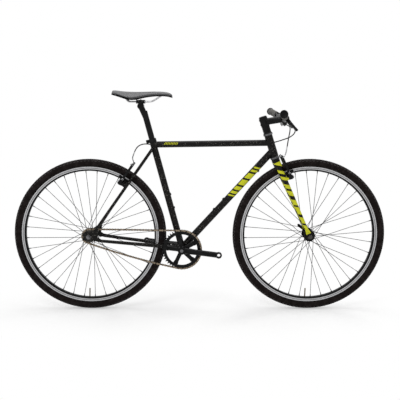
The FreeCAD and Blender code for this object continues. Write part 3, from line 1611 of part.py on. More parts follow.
# Drive
RING_PITCH = "chain_pitch / 2 / sin(180 / ring_teeth)"
COG_PITCH = "chain_pitch / 2 / sin(180 / cog_teeth)"
RING_RADIUS, COG_RADIUS = size(RING_PITCH), size(COG_PITCH)


def chain_joints():
    """Joints of the chain: round the ring, along the slack run, round the cog and back."""
    pitch = size("chain_pitch")
    ring, cog = beside(BRACKET, "chain_line"), beside(REAR, "chain_line")
    line = cog - ring
    spread = math.acos((RING_RADIUS - COG_RADIUS) / line.Length)
    first = math.atan2(line.z, line.x) - spread
    ring_step, cog_step = 2 * math.pi / size("ring_teeth"), 2 * math.pi / size("cog_teeth")
    top_ring, top_cog = polar(ring, RING_RADIUS, first), polar(cog, COG_RADIUS, first)
    run = top_cog - top_ring
    tight_count = int(run.Length / pitch)
    tight = [top_ring + run.normalize() * (pitch * n) for n in range(tight_count, 0, -1)]
    offset = tight[0] - cog
    reach = offset.Length
    swing = math.acos((COG_RADIUS**2 + reach**2 - pitch**2) / (2 * COG_RADIUS * reach))
    cog_start = math.atan2(offset.z, offset.x) + swing
    ring_count = int((math.pi - spread) / ring_step)
    cog_count = int(spread / cog_step)

    # Seats are added until the slack run clears both the ring and the cog
    while True:
        ring_points = [polar(ring, RING_RADIUS, first - ring_step * n) for n in range(ring_count)]
        cog_points = [polar(cog, COG_RADIUS, cog_start + cog_step * n) for n in range(cog_count)]
        # The fewest whole links that still hang slack, and an even number of links in all
        slack = int(ring_points[-1].distanceToPoint(cog_points[-1]) / pitch)
        slack += (slack + ring_count + cog_count + tight_count) % 2
        hanging = slack_run(ring_points[-1], cog_points[-1], slack, pitch)
        if hanging[0].distanceToPoint(ring) < RING_RADIUS:
            ring_count += 1
        elif hanging[-1].distanceToPoint(cog) < COG_RADIUS:
            cog_count += 1
        else:
            return ring_points + hanging + cog_points[::-1] + tight, first, cog_start


def slack_run(start, end, count, pitch):
    """Points of a sagging run of equal links between two joints, on one arc."""
    span = (end - start).Length
    low, high = 1e-6, math.pi / (count + 1)
    for _ in range(60):
        bend = (low + high) / 2
        if math.sin((count + 1) * bend) / math.sin(bend) * pitch > span:
            low = bend
        else:
            high = bend
    way = (end - start).normalize()
    turn = math.atan2(way.z, way.x) + count * low
    points, spot = [], start
    for index in range(count):
        spot = spot + V(math.cos(turn), 0, math.sin(turn)) * pitch
        points.append(spot)
        turn -= 2 * low
    return points


JOINTS, RING_PHASE, COG_PHASE = chain_joints()


def stadium(length, height, thickness, start):
    """Chain plate: a flat bar with blunt ends, lying along local X."""
    half, blunt = height / 2, height / 4
    corners = [
        V(-half, start, -blunt),
        V(-blunt, start, -half),
        V(length + blunt, start, -half),
        V(length + half, start, -blunt),
        V(length + half, start, blunt),
        V(length + blunt, start, half),
        V(-blunt, start, half),
        V(-half, start, blunt),
    ]
    return Part.Face(Part.makePolygon(corners + corners[:1])).extrude(V(0, thickness, 0))


def chain():
    """Roller chain: inner links with rollers and outer links by turns."""
    pitch, thick, height = size("chain_pitch"), size("plate_thickness"), size("plate_height")
    inside = size("roller_width / 2")
    outside = inside + thick + size("plate_gap")
    rollers = []
    for spot in (0, pitch):
        ends = V(spot, -inside, 0), V(spot, inside, 0)
        rollers.append(prism(*ends, size("roller_diameter / 2"), 2 * HEX_SIDES))
    sides = [stadium(pitch, height, thick, face) for face in (inside, -inside - thick)]
    inner = rollers[0].multiFuse([rollers[1]] + sides)
    outer = Part.makeCompound([stadium(pitch, height, thick, face) for face in (outside, -outside - thick)])
    links = []
    for index, joint in enumerate(JOINTS):
        way = JOINTS[(index + 1) % len(JOINTS)] - joint
        link = (inner if index % 2 else outer).copy()
        link.Placement = FreeCAD.Placement(joint, FreeCAD.Rotation(AHEAD, way))
        links.append(link)
    node("chain", shaped("chain", Part.makeCompound(links)))


chain()


# Half of a tooth's flat tip, as a share of the tooth step
TIP_SHARE = 0.09


def toothed(centre, pitch_radius, teeth, phase):
    """Toothed disc: round seats for the rollers, straight flanks and narrow tips."""
    seat = size("roller_diameter / 2 + tooth_seat")
    step = 2 * math.pi / teeth
    tip = pitch_radius + size("tooth_height")
    shift = seat / pitch_radius
    edges = []
    corners = []
    for index in range(teeth):
        turn = phase + step * index
        corners.append(
            (
                polar(centre, pitch_radius, turn - shift),
                polar(centre, pitch_radius - seat, turn),
                polar(centre, pitch_radius, turn + shift),
                polar(centre, tip, turn + step * (0.5 - TIP_SHARE)),
                polar(centre, tip, turn + step * (0.5 + TIP_SHARE)),
            )
        )
    for index, (start, deep, end, rise, flat) in enumerate(corners):
        following = corners[(index + 1) % teeth][0]
        edges.append(Part.Arc(start, deep, end).toShape())
        edges.append(Part.LineSegment(end, rise).toShape())
        edges.append(Part.LineSegment(rise, flat).toShape())
        edges.append(Part.LineSegment(flat, following).toShape())
    thickness = size("tooth_thickness")
    face = Part.Face(Part.Wire(edges))
    face.translate(LEFT * (thickness / 2))
    return face.extrude(RIGHT * thickness)


def crank_turn(index):
    """Direction of a spider arm, half a step off the crank."""
    step = 360 / size("spider_arms")
    return math.radians(-size("crank_drop_angle") + step * (index + 0.5))


def chainring():
    """Toothed ring with a bolt tab for each arm of the spider."""
    centre = beside(BRACKET, "chain_line")
    half = LEFT * size("tooth_thickness / 2")
    inner_radius = RING_PITCH + " - roller_diameter / 2 - ring_rim"
    disc = shaped("ring_disc", toothed(centre, RING_RADIUS, int(size("ring_teeth")), RING_PHASE))
    rim_ring = cut("ring_rim_only", disc, drill("ring_window", inner_radius, centre - half, centre + half))
    tabs, holes = [], []
    for index in range(int(size("spider_arms"))):
        spot = polar(centre, size("ring_bolt_circle / 2"), crank_turn(index))
        root = polar(centre, size(inner_radius + " + ring_rim / 2"), crank_turn(index))
        tabs.append(rod("ring_tab_%d" % index, "ring_tab_diameter / 2", spot - half, spot + half))
        tabs.append(bar("ring_web_%d" % index, spot, root, LEFT, "ring_tab_diameter", "tooth_thickness"))
        holes.append(drill("ring_hole_%d" % index, "ring_bolt_diameter / 2", spot - half, spot + half))
    node("chainring", cut("chainring", fused("ring_whole", rim_ring, *tabs), *holes))


def cog():
    """Fixed cog on the hub with its lockring."""
    centre = beside(REAR, "chain_line")
    half = size("tooth_thickness / 2")
    disc = shaped("cog_disc", toothed(centre, COG_RADIUS, int(size("cog_teeth")), COG_PHASE))
    bore = "cone_diameter / 2 + free_gap"
    outer = centre + RIGHT * half
    hole = drill("cog_hole", bore, outer, centre + LEFT * half)
    ring_end = outer + RIGHT * size("lockring_thickness")
    lock = rod("cog_lock", "lockring_diameter / 2", outer, ring_end)
    lock_hole = drill("cog_lock_hole", bore, outer, ring_end)
    pieces = [cut("cog_ring", disc, hole), cut("cog_lockring", lock, lock_hole)]
    node("rear_cog", group("rear_cog", *pieces))


chainring()
cog()

CRANK_DROP = math.radians(size("crank_drop_angle"))
CRANK_WAY = V(math.cos(CRANK_DROP), 0, -math.sin(CRANK_DROP))
# How far out each bevel of a crank's section starts, as shares of its half width and half depth
BEVEL_SHARES = (0.7, 0.4)
# Sections of a crank: share of its length, share of its outward lean, width and depth
CRANK_SHARES = (
    (0, 0, "crank_neck_width", "crank_neck_thickness"),
    (0.33, 0.55, "crank_width", "(crank_thickness + crank_neck_thickness) / 2"),
    (1, 1, "crank_width", "crank_thickness"),
)


def crank_section(centre, half_width, half_depth):
    """Eight-cornered section, given its centre and its two half axes."""
    wide_share, deep_share = BEVEL_SHARES
    corners = []
    for wide, deep in ((1, deep_share), (wide_share, 1), (-wide_share, 1), (-1, deep_share)):
        corners.append(centre + half_width * wide + half_depth * deep)
    corners += [centre * 2 - corner for corner in corners]
    return Part.makePolygon(corners + corners[:1])


def crank_arm(name, way, out):
    """Forged arm with its boss and pedal eye, and what is cut out of it."""
    inner, outer = size("crank_boss_inner"), size("crank_boss_inner + crank_boss_width")
    boss = rod(name + "_boss", "crank_boss_diameter / 2", BRACKET + out * inner, BRACKET + out * outer)
    lift = size("crank_boss_inner + crank_boss_width / 2")
    across_arm = way.cross(out)
    sections = []
    for share, lean_share, width, depth in CRANK_SHARES:
        centre = BRACKET + way * (share * size("crank_length"))
        centre = centre + out * (lift + lean_share * size("crank_flare"))
        half_width, half_depth = across_arm * size("(%s) / 2" % width), out * size("(%s) / 2" % depth)
        sections.append(crank_section(centre, half_width, half_depth))
    arm = shaped(name + "_arm", Part.makeLoft(sections, True, True))
    eye_middle = BRACKET + way * size("crank_length") + out * (lift + size("crank_flare"))
    half = out * size("crank_thickness / 2")
    eye = rod(name + "_eye", "crank_eye_diameter / 2", eye_middle - half, eye_middle + half)
    hole_radius = "pedal_thread_diameter / 2"
    hole = drill(name + "_thread", hole_radius, eye_middle - half, eye_middle + half)
    side = "spindle_square + seat_fit * 2"
    square = block(name + "_square", facing(BRACKET, out, way), side, side, "spindle_half * 4")
    return fused(name + "_forging", boss, arm, eye), (hole, square)


def cranks():
    """Right crank with its spider, left crank, spindle and the bolts of all three."""
    forging, holes = crank_arm("right_crank", CRANK_WAY, RIGHT)
    face = RIGHT * size("chain_line + tooth_thickness / 2")
    depth = RIGHT * size("spider_thickness")
    spider, bolt_holes, bolts = [], [], []
    for index in range(int(size("spider_arms"))):
        spot = polar(BRACKET, size("ring_bolt_circle / 2"), crank_turn(index))
        near, far = spot + face, spot + face + depth
        root, middle = BRACKET + face + depth * 0.5, near + depth * 0.5
        spider.append(bar("spider_%d" % index, root, middle, RIGHT, "spider_width", "spider_thickness"))
        spider.append(rod("spider_eye_%d" % index, "ring_tab_diameter / 2", near, far))
        bolt_holes.append(drill("spider_hole_%d" % index, "ring_bolt_diameter / 2", near, far))
        back = near - RIGHT * size("tooth_thickness")
        shank = rod("ring_bolt_%d" % index, "ring_bolt_diameter / 2 - seat_fit", back, far)
        outer = far + RIGHT * size("plate_thickness")
        head = rod("ring_bolt_head_%d" % index, "ring_bolt_head / 2", far, outer)
        bolts.append(fused("ring_bolt_whole_%d" % index, shank, head))
    whole = fused("right_crank_whole", forging, *spider)
    node("right_crank", cut("right_crank", whole, *(list(holes) + bolt_holes)))

    left_forging, left_holes = crank_arm("left_crank", CRANK_WAY * -1, LEFT)
    node("left_crank", cut("left_crank", left_forging, *left_holes))

    ends = size("spindle_half - spindle_square_length")
    middle = rod("spindle_bar", "spindle_diameter / 2", BRACKET + RIGHT * ends, BRACKET + LEFT * ends)
    place = facing(BRACKET, RIGHT, CRANK_WAY)
    tips = block("spindle_tips", place, "spindle_square", "spindle_square", "spindle_half * 2")
    node("crank_spindle", fused("crank_spindle", middle, tips))

    for name, side in (("right", RIGHT), ("left", LEFT)):
        seat = BRACKET + side * size("crank_boss_inner + crank_boss_width")
        end = seat + side * size("crank_bolt_height")
        bolts.append(rod(name + "_crank_bolt", "crank_bolt_diameter / 2", seat, end))
    node("crank_bolts", group("crank_bolts", *bolts))


cranks()

# Seat
POST_TOP = on_seat("seatpost_height")
RAIL_MIDDLE = V(POST_TOP.x - size("saddle_set_back"), 0, size("rail_height"))


def seatpost():
    """Seatpost tube with its head, and the clamp that holds the saddle's rails."""
    low = on_seat("seat_tube_length - seatpost_insert")
    skin = rod("post_skin", "seatpost_diameter / 2", low, POST_TOP)
    neck_foot = on_seat("seatpost_height - post_head_diameter")
    core = rod("post_core", "seatpost_diameter / 2 - seatpost_wall", low, neck_foot)
    half = LEFT * size("post_head_width / 2")
    under = RAIL_MIDDLE - UP * size("clamp_thickness + post_head_diameter / 2 - rail_diameter / 2")
    head = rod("post_head", "post_head_diameter / 2", under - half, under + half)
    neck = rod("post_neck", "seatpost_diameter / 2", neck_foot, under)
    lower_place = facing(RAIL_MIDDLE - UP * size("clamp_thickness / 2"), UP, AHEAD)
    lower = block("clamp_lower", lower_place, "clamp_length", "clamp_width", "clamp_thickness")
    whole = fused("seatpost_whole", skin, head, neck)
    bolt_low = RAIL_MIDDLE - UP * size("clamp_thickness * 2")
    bolt_high = RAIL_MIDDLE + UP * size("clamp_thickness + clamp_bolt_diameter / 2")
    bolt_hole = drill("clamp_bolt_hole", "clamp_bolt_diameter / 2 + seat_fit", bolt_low, bolt_high)
    node("seatpost", cut("seatpost", whole, core, lower, bolt_hole))

    upper_place = facing(RAIL_MIDDLE + UP * size("clamp_thickness / 2 + free_gap"), UP, AHEAD)
    upper = block("clamp_upper", upper_place, "clamp_length", "clamp_width", "clamp_thickness")
    grooves = []
    for name, way in (("right", RIGHT), ("left", LEFT)):
        middle = RAIL_MIDDLE + way * size("rail_spacing / 2")
        run = AHEAD * size("clamp_length")
        groove_radius = "rail_diameter / 2 + seat_fit"
        grooves.append(drill("clamp_groove_" + name, groove_radius, middle - run, middle + run))
    plates = [
        cut("clamp_lower_plate", lower, bolt_hole, *grooves),
        cut("clamp_upper_plate", upper, bolt_hole, *grooves),
    ]
    bolt = rod("clamp_bolt", "clamp_bolt_diameter / 2", bolt_low, bolt_high)
    node("saddle_clamp", group("saddle_clamp", *(plates + [bolt])))


seatpost()

# Saddle stations from tail to nose: how far along, how wide, how low and how far its edges drop, each a share
SADDLE_SHARES = (
    (0.0, 0.55, -0.35, 0.6),
    (0.08, 0.93, -0.2, 0.85),
    (0.2, 1.0, 0.05, 1.35),
    (0.32, 0.88, 0.18, 1.75),
    (0.44, 0.6, 0.2, 1.45),
    (0.56, 0.42, 0.16, 1.0),
    (0.72, 0.31, 0.1, 0.7),
    (0.9, 0.26, 0.3, 0.55),
    (1.0, 0.16, 0.9, 0.4),
)
# Rail points from tail to nose, as shares of the saddle's length
RAIL_SHARES = (0.17, 0.27, 0.66, 0.88)


def saddle_section(share, width_share, low_share, drop_share, lift, depth, inset):
    """Closed arch across the saddle: an upper arc, two short sides and a lower arc."""
    along = size("saddle_tail") + share * size("saddle_length")
    half = size("saddle_width / 2") * width_share - inset
    top = size("saddle_top") - low_share * size("saddle_crown") - lift
    edge = top - drop_share * size("saddle_crown")
    corners = (V(along, -half, edge), V(along, 0, top), V(along, half, edge))
    low = [corner - UP * depth for corner in corners]
    edges = [
        Part.Arc(*corners).toShape(),
        Part.LineSegment(corners[2], low[2]).toShape(),
        Part.Arc(low[2], low[1], low[0]).toShape(),
        Part.LineSegment(low[0], corners[0]).toShape(),
    ]
    return Part.Wire(edges)


def saddle_form(lift, depth, inset):
    """Layer of the saddle, so far below its top and so thick."""
    sections = [saddle_section(*shares, lift, depth, inset) for shares in SADDLE_SHARES]
    return Part.makeLoft(sections, True, False)


def saddle():
    """Padded cover on a plastic shell, carried by two steel rails."""
    pad, gap, thick = size("saddle_pad"), size("free_gap"), size("saddle_shell_thickness")
    node("saddle_cover", shaped("saddle_cover", saddle_form(0, pad, 0)))
    node("saddle_shell", shaped("saddle_shell", saddle_form(pad + gap, thick, gap)))
    stations = [size("saddle_tail") + share * size("saddle_length") for share in RAIL_SHARES]
    apart, level, high = size("rail_spacing / 2"), size("rail_height"), size("rail_height + rail_rise")
    spots = [
        V(stations[0], -apart, high),
        V(stations[1], -apart, level),
        V(stations[2], -apart, level),
        V(stations[3], -size("rail_diameter"), high),
    ]
    radii = [size("rail_bend"), size("rail_nose_bend")]
    rail = shaped("rail_whole", swept(bent_wire(spots, radii), size("rail_diameter / 2")))
    room = shaped("saddle_room", saddle_form(gap, pad + thick, gap))
    node("saddle_rails", pair("saddle_rails_pair", cut("rail_right", rail, room)))


saddle()

doc.recompute()
failed = [thing.Name for thing in doc.Objects if {"Invalid", "Error"} & set(thing.State)]
for piece in nodes:
    if piece.Shape.isNull() or not piece.Shape.isValid():
        failed.append(piece.Label)
if failed:
    raise SystemExit("Not built: " + ", ".join(failed))
os.makedirs("parts", exist_ok=True)
for piece in nodes:
    piece.Shape.exportStep("parts/%s.step" % piece.Label)
print(len(nodes), "nodes")
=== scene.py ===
"""Dresses the fixed gear bicycle: finishes, chain, tyres, spokes, saddle, grips, cables, bolts and studio."""

from __future__ import annotations

import json
import logging
import math
from dataclasses import dataclass, replace
from enum import Enum
from typing import Iterable, Iterator, Sequence

import bmesh
import bpy
from mathutils import Matrix, Vector
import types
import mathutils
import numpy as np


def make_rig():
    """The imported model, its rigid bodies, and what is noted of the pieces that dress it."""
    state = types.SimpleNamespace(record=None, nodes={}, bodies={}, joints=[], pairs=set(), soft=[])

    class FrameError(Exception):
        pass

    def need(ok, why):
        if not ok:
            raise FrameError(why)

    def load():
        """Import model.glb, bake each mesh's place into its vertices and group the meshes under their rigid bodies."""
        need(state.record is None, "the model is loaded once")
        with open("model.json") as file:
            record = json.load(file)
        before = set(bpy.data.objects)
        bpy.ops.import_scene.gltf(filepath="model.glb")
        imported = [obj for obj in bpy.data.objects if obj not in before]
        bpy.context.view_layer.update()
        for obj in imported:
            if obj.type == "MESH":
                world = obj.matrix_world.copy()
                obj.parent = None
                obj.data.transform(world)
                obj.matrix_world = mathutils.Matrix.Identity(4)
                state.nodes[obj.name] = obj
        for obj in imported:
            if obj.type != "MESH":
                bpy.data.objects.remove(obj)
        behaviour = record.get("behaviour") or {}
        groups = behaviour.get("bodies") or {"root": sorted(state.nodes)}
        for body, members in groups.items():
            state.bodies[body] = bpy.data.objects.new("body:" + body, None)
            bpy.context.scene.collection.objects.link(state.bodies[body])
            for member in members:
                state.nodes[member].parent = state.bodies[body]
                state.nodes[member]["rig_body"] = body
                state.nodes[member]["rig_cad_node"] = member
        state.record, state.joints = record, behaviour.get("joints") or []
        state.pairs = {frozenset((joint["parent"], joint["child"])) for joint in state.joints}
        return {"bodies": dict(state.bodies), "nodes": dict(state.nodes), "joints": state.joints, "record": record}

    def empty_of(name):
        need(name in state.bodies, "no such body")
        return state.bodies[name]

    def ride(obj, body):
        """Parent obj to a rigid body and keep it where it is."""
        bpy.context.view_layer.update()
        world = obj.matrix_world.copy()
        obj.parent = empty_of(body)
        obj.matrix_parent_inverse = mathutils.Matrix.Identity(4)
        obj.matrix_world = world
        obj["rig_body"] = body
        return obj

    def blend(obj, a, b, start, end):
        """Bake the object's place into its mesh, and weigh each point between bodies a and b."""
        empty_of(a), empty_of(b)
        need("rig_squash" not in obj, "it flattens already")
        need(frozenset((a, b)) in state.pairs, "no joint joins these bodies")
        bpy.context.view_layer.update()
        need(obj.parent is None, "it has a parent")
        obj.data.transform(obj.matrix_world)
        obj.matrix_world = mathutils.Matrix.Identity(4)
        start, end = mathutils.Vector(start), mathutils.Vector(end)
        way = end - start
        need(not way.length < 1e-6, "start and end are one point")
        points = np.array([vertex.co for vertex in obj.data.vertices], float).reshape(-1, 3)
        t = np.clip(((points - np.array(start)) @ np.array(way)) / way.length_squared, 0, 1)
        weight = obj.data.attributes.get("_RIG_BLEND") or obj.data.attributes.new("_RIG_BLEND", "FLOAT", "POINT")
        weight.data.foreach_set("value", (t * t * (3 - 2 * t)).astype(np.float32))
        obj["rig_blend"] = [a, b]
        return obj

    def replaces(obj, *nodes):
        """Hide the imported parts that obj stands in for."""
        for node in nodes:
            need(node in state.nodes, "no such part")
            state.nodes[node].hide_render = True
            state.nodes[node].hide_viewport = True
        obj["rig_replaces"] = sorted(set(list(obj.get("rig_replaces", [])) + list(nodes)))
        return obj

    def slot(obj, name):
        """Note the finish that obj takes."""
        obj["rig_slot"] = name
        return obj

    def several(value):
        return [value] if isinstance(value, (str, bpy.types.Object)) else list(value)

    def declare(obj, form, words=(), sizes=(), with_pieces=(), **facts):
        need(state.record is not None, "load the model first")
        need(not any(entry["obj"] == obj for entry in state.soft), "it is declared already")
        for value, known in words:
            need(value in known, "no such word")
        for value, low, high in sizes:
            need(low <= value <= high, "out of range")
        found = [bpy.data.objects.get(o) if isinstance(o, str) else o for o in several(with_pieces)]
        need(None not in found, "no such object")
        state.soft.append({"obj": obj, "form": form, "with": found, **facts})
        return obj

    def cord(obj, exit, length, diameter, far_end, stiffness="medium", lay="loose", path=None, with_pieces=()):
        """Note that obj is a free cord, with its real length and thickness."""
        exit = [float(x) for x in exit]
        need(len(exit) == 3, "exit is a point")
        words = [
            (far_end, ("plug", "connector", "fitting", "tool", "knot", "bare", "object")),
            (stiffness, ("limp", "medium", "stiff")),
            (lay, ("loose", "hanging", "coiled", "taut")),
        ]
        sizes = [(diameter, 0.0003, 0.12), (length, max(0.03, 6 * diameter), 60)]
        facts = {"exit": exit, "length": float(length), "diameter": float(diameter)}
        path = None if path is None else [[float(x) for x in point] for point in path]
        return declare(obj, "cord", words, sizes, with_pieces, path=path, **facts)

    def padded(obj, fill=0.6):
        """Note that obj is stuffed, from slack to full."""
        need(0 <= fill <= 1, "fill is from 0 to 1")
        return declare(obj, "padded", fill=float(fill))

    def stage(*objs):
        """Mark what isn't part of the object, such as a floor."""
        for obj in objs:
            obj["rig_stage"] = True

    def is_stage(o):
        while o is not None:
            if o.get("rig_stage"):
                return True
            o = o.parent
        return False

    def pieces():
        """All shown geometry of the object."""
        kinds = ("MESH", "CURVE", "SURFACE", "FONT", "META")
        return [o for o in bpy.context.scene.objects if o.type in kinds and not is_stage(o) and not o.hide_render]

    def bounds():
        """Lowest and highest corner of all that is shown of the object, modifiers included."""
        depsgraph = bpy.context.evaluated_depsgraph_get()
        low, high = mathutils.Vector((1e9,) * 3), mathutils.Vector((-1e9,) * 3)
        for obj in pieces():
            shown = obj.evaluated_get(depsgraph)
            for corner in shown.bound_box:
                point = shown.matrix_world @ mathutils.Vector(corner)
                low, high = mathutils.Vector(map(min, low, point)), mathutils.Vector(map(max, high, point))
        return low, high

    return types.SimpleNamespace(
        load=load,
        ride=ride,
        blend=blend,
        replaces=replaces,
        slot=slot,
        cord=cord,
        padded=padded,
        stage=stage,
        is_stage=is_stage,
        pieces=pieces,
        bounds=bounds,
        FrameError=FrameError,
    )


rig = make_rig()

LOG = logging.getLogger("bicycle")
Colour = tuple[float, float, float]
Triple = tuple[float, float, float]
Pair = tuple[float, float]
Ring = list[Vector]
Settings = dict[str, str]
MILLIMETRE = 0.001
MERGE = 1e-6
ON_AXIS = 1e-7
FULL_TURN = 2 * math.pi
AHEAD = Vector((1.0, 0.0, 0.0))
LEFT = Vector((0.0, 1.0, 0.0))
UP = Vector((0.0, 0.0, 1.0))
REAR_AXLE = Vector((-0.504, 0.0, 0.351))
FRONT_AXLE = Vector((0.504, 0.0, 0.351))
CRANK_AXLE = Vector((-0.0808, 0.0, 0.288))
SIDES = ("right", "left")


def at(x: float, y: float, z: float) -> Vector:
    """Point given in millimetres, in metres."""
    return Vector((x, y, z)) * MILLIMETRE


def scaled(colour: Colour, factor: float, lift: float = 0.0) -> Colour:
    """A colour made paler or darker, with a plain share added to each part."""
    return tuple(part * factor + lift for part in colour)


class Signal:
    """A value in a node tree, whose operators add Math nodes."""

    def __init__(self, tree: bpy.types.NodeTree, socket: bpy.types.NodeSocket) -> None:
        """Wrap one output socket."""
        self.tree = tree
        self.socket = socket

    def out(self, name: str) -> Signal:
        """Another output of the same node."""
        return Signal(self.tree, self.socket.node.outputs[name])

    def math(self, operation: str, *values: Signal | float) -> Signal:
        """Add one Math node.

        Args:
            operation: Its operation.
            values: What its inputs get, in order.

        Returns:
            The node's result.
        """
        node = self.tree.nodes.new("ShaderNodeMath")
        node.operation = operation
        for slot, value in zip(node.inputs, values):
            if isinstance(value, Signal):
                self.tree.links.new(value.socket, slot)
            else:
                slot.default_value = value
        return Signal(self.tree, node.outputs[0])

    def __add__(self, other: Signal | float) -> Signal:
        """Sum."""
        return self.math("ADD", self, other)

    def __radd__(self, other: float) -> Signal:
        """Sum, with the number first."""
        return self.math("ADD", other, self)

    def __sub__(self, other: Signal | float) -> Signal:
        """Difference."""
        return self.math("SUBTRACT", self, other)

    def __rsub__(self, other: float) -> Signal:
        """Difference, with the number first."""
        return self.math("SUBTRACT", other, self)

    def __mul__(self, other: Signal | float) -> Signal:
        """Product."""
        return self.math("MULTIPLY", self, other)

    def __rmul__(self, other: float) -> Signal:
        """Product, with the number first."""
        return self.math("MULTIPLY", other, self)

    def __lt__(self, other: Signal | float) -> Signal:
        """One where this value is the smaller."""
        return self.math("LESS_THAN", self, other)

    def __gt__(self, other: Signal | float) -> Signal:
        """One where this value is the larger."""
        return self.math("GREATER_THAN", self, other)

    def __abs__(self) -> Signal:
        """Size without sign."""
        return self.math("ABSOLUTE", self)


Input = Signal | float | Sequence[float]


class Recipe:
    """One material while it is mixed."""

    def __init__(self, name: str) -> None:
        """Start a material with its shader and its place on the object.

        Args:
            name: The material's name.
        """
        self.material = bpy.data.materials.new(name)
        self.material.use_nodes = True
        self.tree = self.material.node_tree
        self.shader = next(node for node in self.tree.nodes if node.type == "BSDF_PRINCIPLED")
        self.place = self.add("TexCoord", output="Object")

    @staticmethod
    def find(sockets: Iterable[bpy.types.NodeSocket], name: str) -> bpy.types.NodeSocket:
        """Socket by its identifier or its name, with underscores for spaces."""
        spaced = name.replace("_", " ")
        return next(socket for socket in sockets if name == socket.identifier or spaced == socket.name)

    def plug(self, node: bpy.types.Node, **sockets: Input) -> None:
        """Set or link a node's inputs.

        Args:
            node: The node.
            sockets: Values or signals by input name.
        """
        for name, value in sockets.items():
            slot = self.find(node.inputs, name)
            if isinstance(value, Signal):
                self.tree.links.new(value.socket, slot)
            elif slot.type == "RGBA" and len(value) == 3:
                slot.default_value = (*value, 1.0)
            else:
                slot.default_value = value

    def dress(self, **sockets: Input) -> None:
        """Set or link the shader's inputs."""
        self.plug(self.shader, **sockets)

    def add(self, kind: str, settings: Settings | None = None, output: str = "", **sockets: Input) -> Signal:
        """Add a node of any other type.

        Args:
            kind: Node type without its prefix.
            settings: Properties, set first.
            output: Output to hand on, or the first one.
            sockets: Values or signals by input name.

        Returns:
            The chosen output.
        """
        node = self.tree.nodes.new("ShaderNode" + kind)
        for key, value in (settings or {}).items():
            setattr(node, key, value)
        self.plug(node, **sockets)
        return Signal(self.tree, self.find(node.outputs, output) if output else node.outputs[0])

    def noise(self, scale: float, detail: float = 2.0, stretch: Sequence[float] = (1.0, 1.0, 1.0)) -> Signal:
        """Cloudy value around one half, at so many clouds to the metre."""
        place = self.add("Mapping", Vector=self.place, Scale=stretch)
        return self.add("TexNoise", Vector=place, Scale=scale, Detail=detail)

    def blend(self, share: Signal, first: Input, second: Input) -> Signal:
        """Mix two colours."""
        settings = {"data_type": "RGBA"}
        return self.add("Mix", settings, "Result_Color", Factor_Float=share, A_Color=first, B_Color=second)

    def fade(self, value: Signal, start: float, end: float) -> Signal:
        """Smooth step from nought at start to one at end."""
        settings = {"interpolation_type": "SMOOTHSTEP"}
        return self.add("MapRange", settings, Value=value, From_Min=start, From_Max=end)

    def along(self, direction: Vector) -> Signal:
        """Distance along a direction, in metres."""
        settings = {"operation": "DOT_PRODUCT"}
        return self.add("VectorMath", settings, "Value", Vector=self.place, Vector_001=tuple(direction))

    def square_from(self, axle: Vector) -> Signal:
        """Square of the distance from an axle that lies across the bicycle."""
        along, above = self.along(AHEAD) - axle.x, self.along(UP) - axle.z
        return along * along + above * above

    def rough(self, height: Signal, strength: float, distance: float) -> None:
        """Raise the surface by a height."""
        normal = self.add("Bump", None, "Normal", Strength=strength, Distance=distance, Height=height)
        self.dress(Normal=normal)


@dataclass(frozen=True)
class Finish:
    """What every finish has: a colour, a gloss that varies, and a relief of some strength and depth."""

    colour: Colour
    roughness: float
    metallic: float = 0.0
    shine: float = 0.07
    swing: float = 0.14
    relief: Pair = (0.08, 0.0003)

    def surface(self, recipe: Recipe) -> None:
        """Mix the surface's own detail."""
        raise NotImplementedError

    def make(self, name: str) -> bpy.types.Material:
        """Mix the material.

        Args:
            name: Its name.

        Returns:
            The finished material.
        """
        recipe = Recipe(name)
        recipe.dress(Metallic=self.metallic, Specular_IOR_Level=self.shine)
        self.surface(recipe)
        return recipe.material


@dataclass(frozen=True)
class Band:
    """A row of slanting bars painted across a tube, measured along it."""

    way: Vector
    across: Vector
    middle: float
    bars: tuple[Pair, ...]
    slant: float = 0.0
    half_height: float = 1.0

    def mask(self, recipe: Recipe) -> Signal:
        """Where the bars are.

        Args:
            recipe: The material.

        Returns:
            One on a bar and nought beside it.
        """
        side = recipe.along(self.across) - self.middle
        spot = recipe.along(self.way) + side * self.slant
        total = sum((spot > start) * (spot < end) for start, end in self.bars)
        return total * (abs(side) < self.half_height)


@dataclass(frozen=True)
class FleckPaint(Finish):
    """Gloss paint with fine pale flecks under a clear coat, and painted bars."""

    fleck: Colour = (0.2, 0.19, 0.17)
    bright: Colour = (0.610496, 0.623960, 0.021219)
    bands: tuple[Band, ...] = ()
    marks: tuple[Band, ...] = ()
    cells: float = 300.0
    fleck_reach: float = 0.36
    fleck_choice: float = 0.74
    fleck_cloud: Pair = (0.36, 0.62)
    clouds: float = 55.0
    worn_share: float = 0.3
    toned: float = 0.8
    swing: float = 0.16
    coat: float = 0.18
    coat_roughness: float = 0.05
    coat_index: float = 1.4
    ripples: float = 900.0
    relief: Pair = (0.04, 0.0004)

    def surface(self, recipe: Recipe) -> None:
        """Flecks, bars and a coat with a slight ripple.

        Args:
            recipe: The material.
        """
        cell = recipe.add("TexVoronoi", {"feature": "F1"}, "Distance", Vector=recipe.place, Scale=self.cells)
        pick = recipe.add("SeparateColor", None, "Red", Color=cell.out("Color"))
        cloud = recipe.noise(self.clouds, 3.0)
        flecks = (cell < self.fleck_reach) * (pick > self.fleck_choice) * recipe.fade(cloud, *self.fleck_cloud)
        colour = recipe.blend(flecks, self.colour, self.fleck)
        if self.bands:
            painted = sum(band.mask(recipe) for band in self.bands)
            for mark in self.marks:
                painted = painted * (1 - mark.mask(recipe))
            bright = recipe.blend(cloud * self.worn_share, self.bright, scaled(self.bright, self.toned))
            colour = recipe.blend(painted, colour, bright)
        recipe.dress(Base_Color=colour, Roughness=cloud * self.swing + self.roughness)
        recipe.dress(Coat_Weight=self.coat, Coat_Roughness=self.coat_roughness, Coat_IOR=self.coat_index)
        recipe.rough(recipe.noise(self.ripples, 1.0), *self.relief)


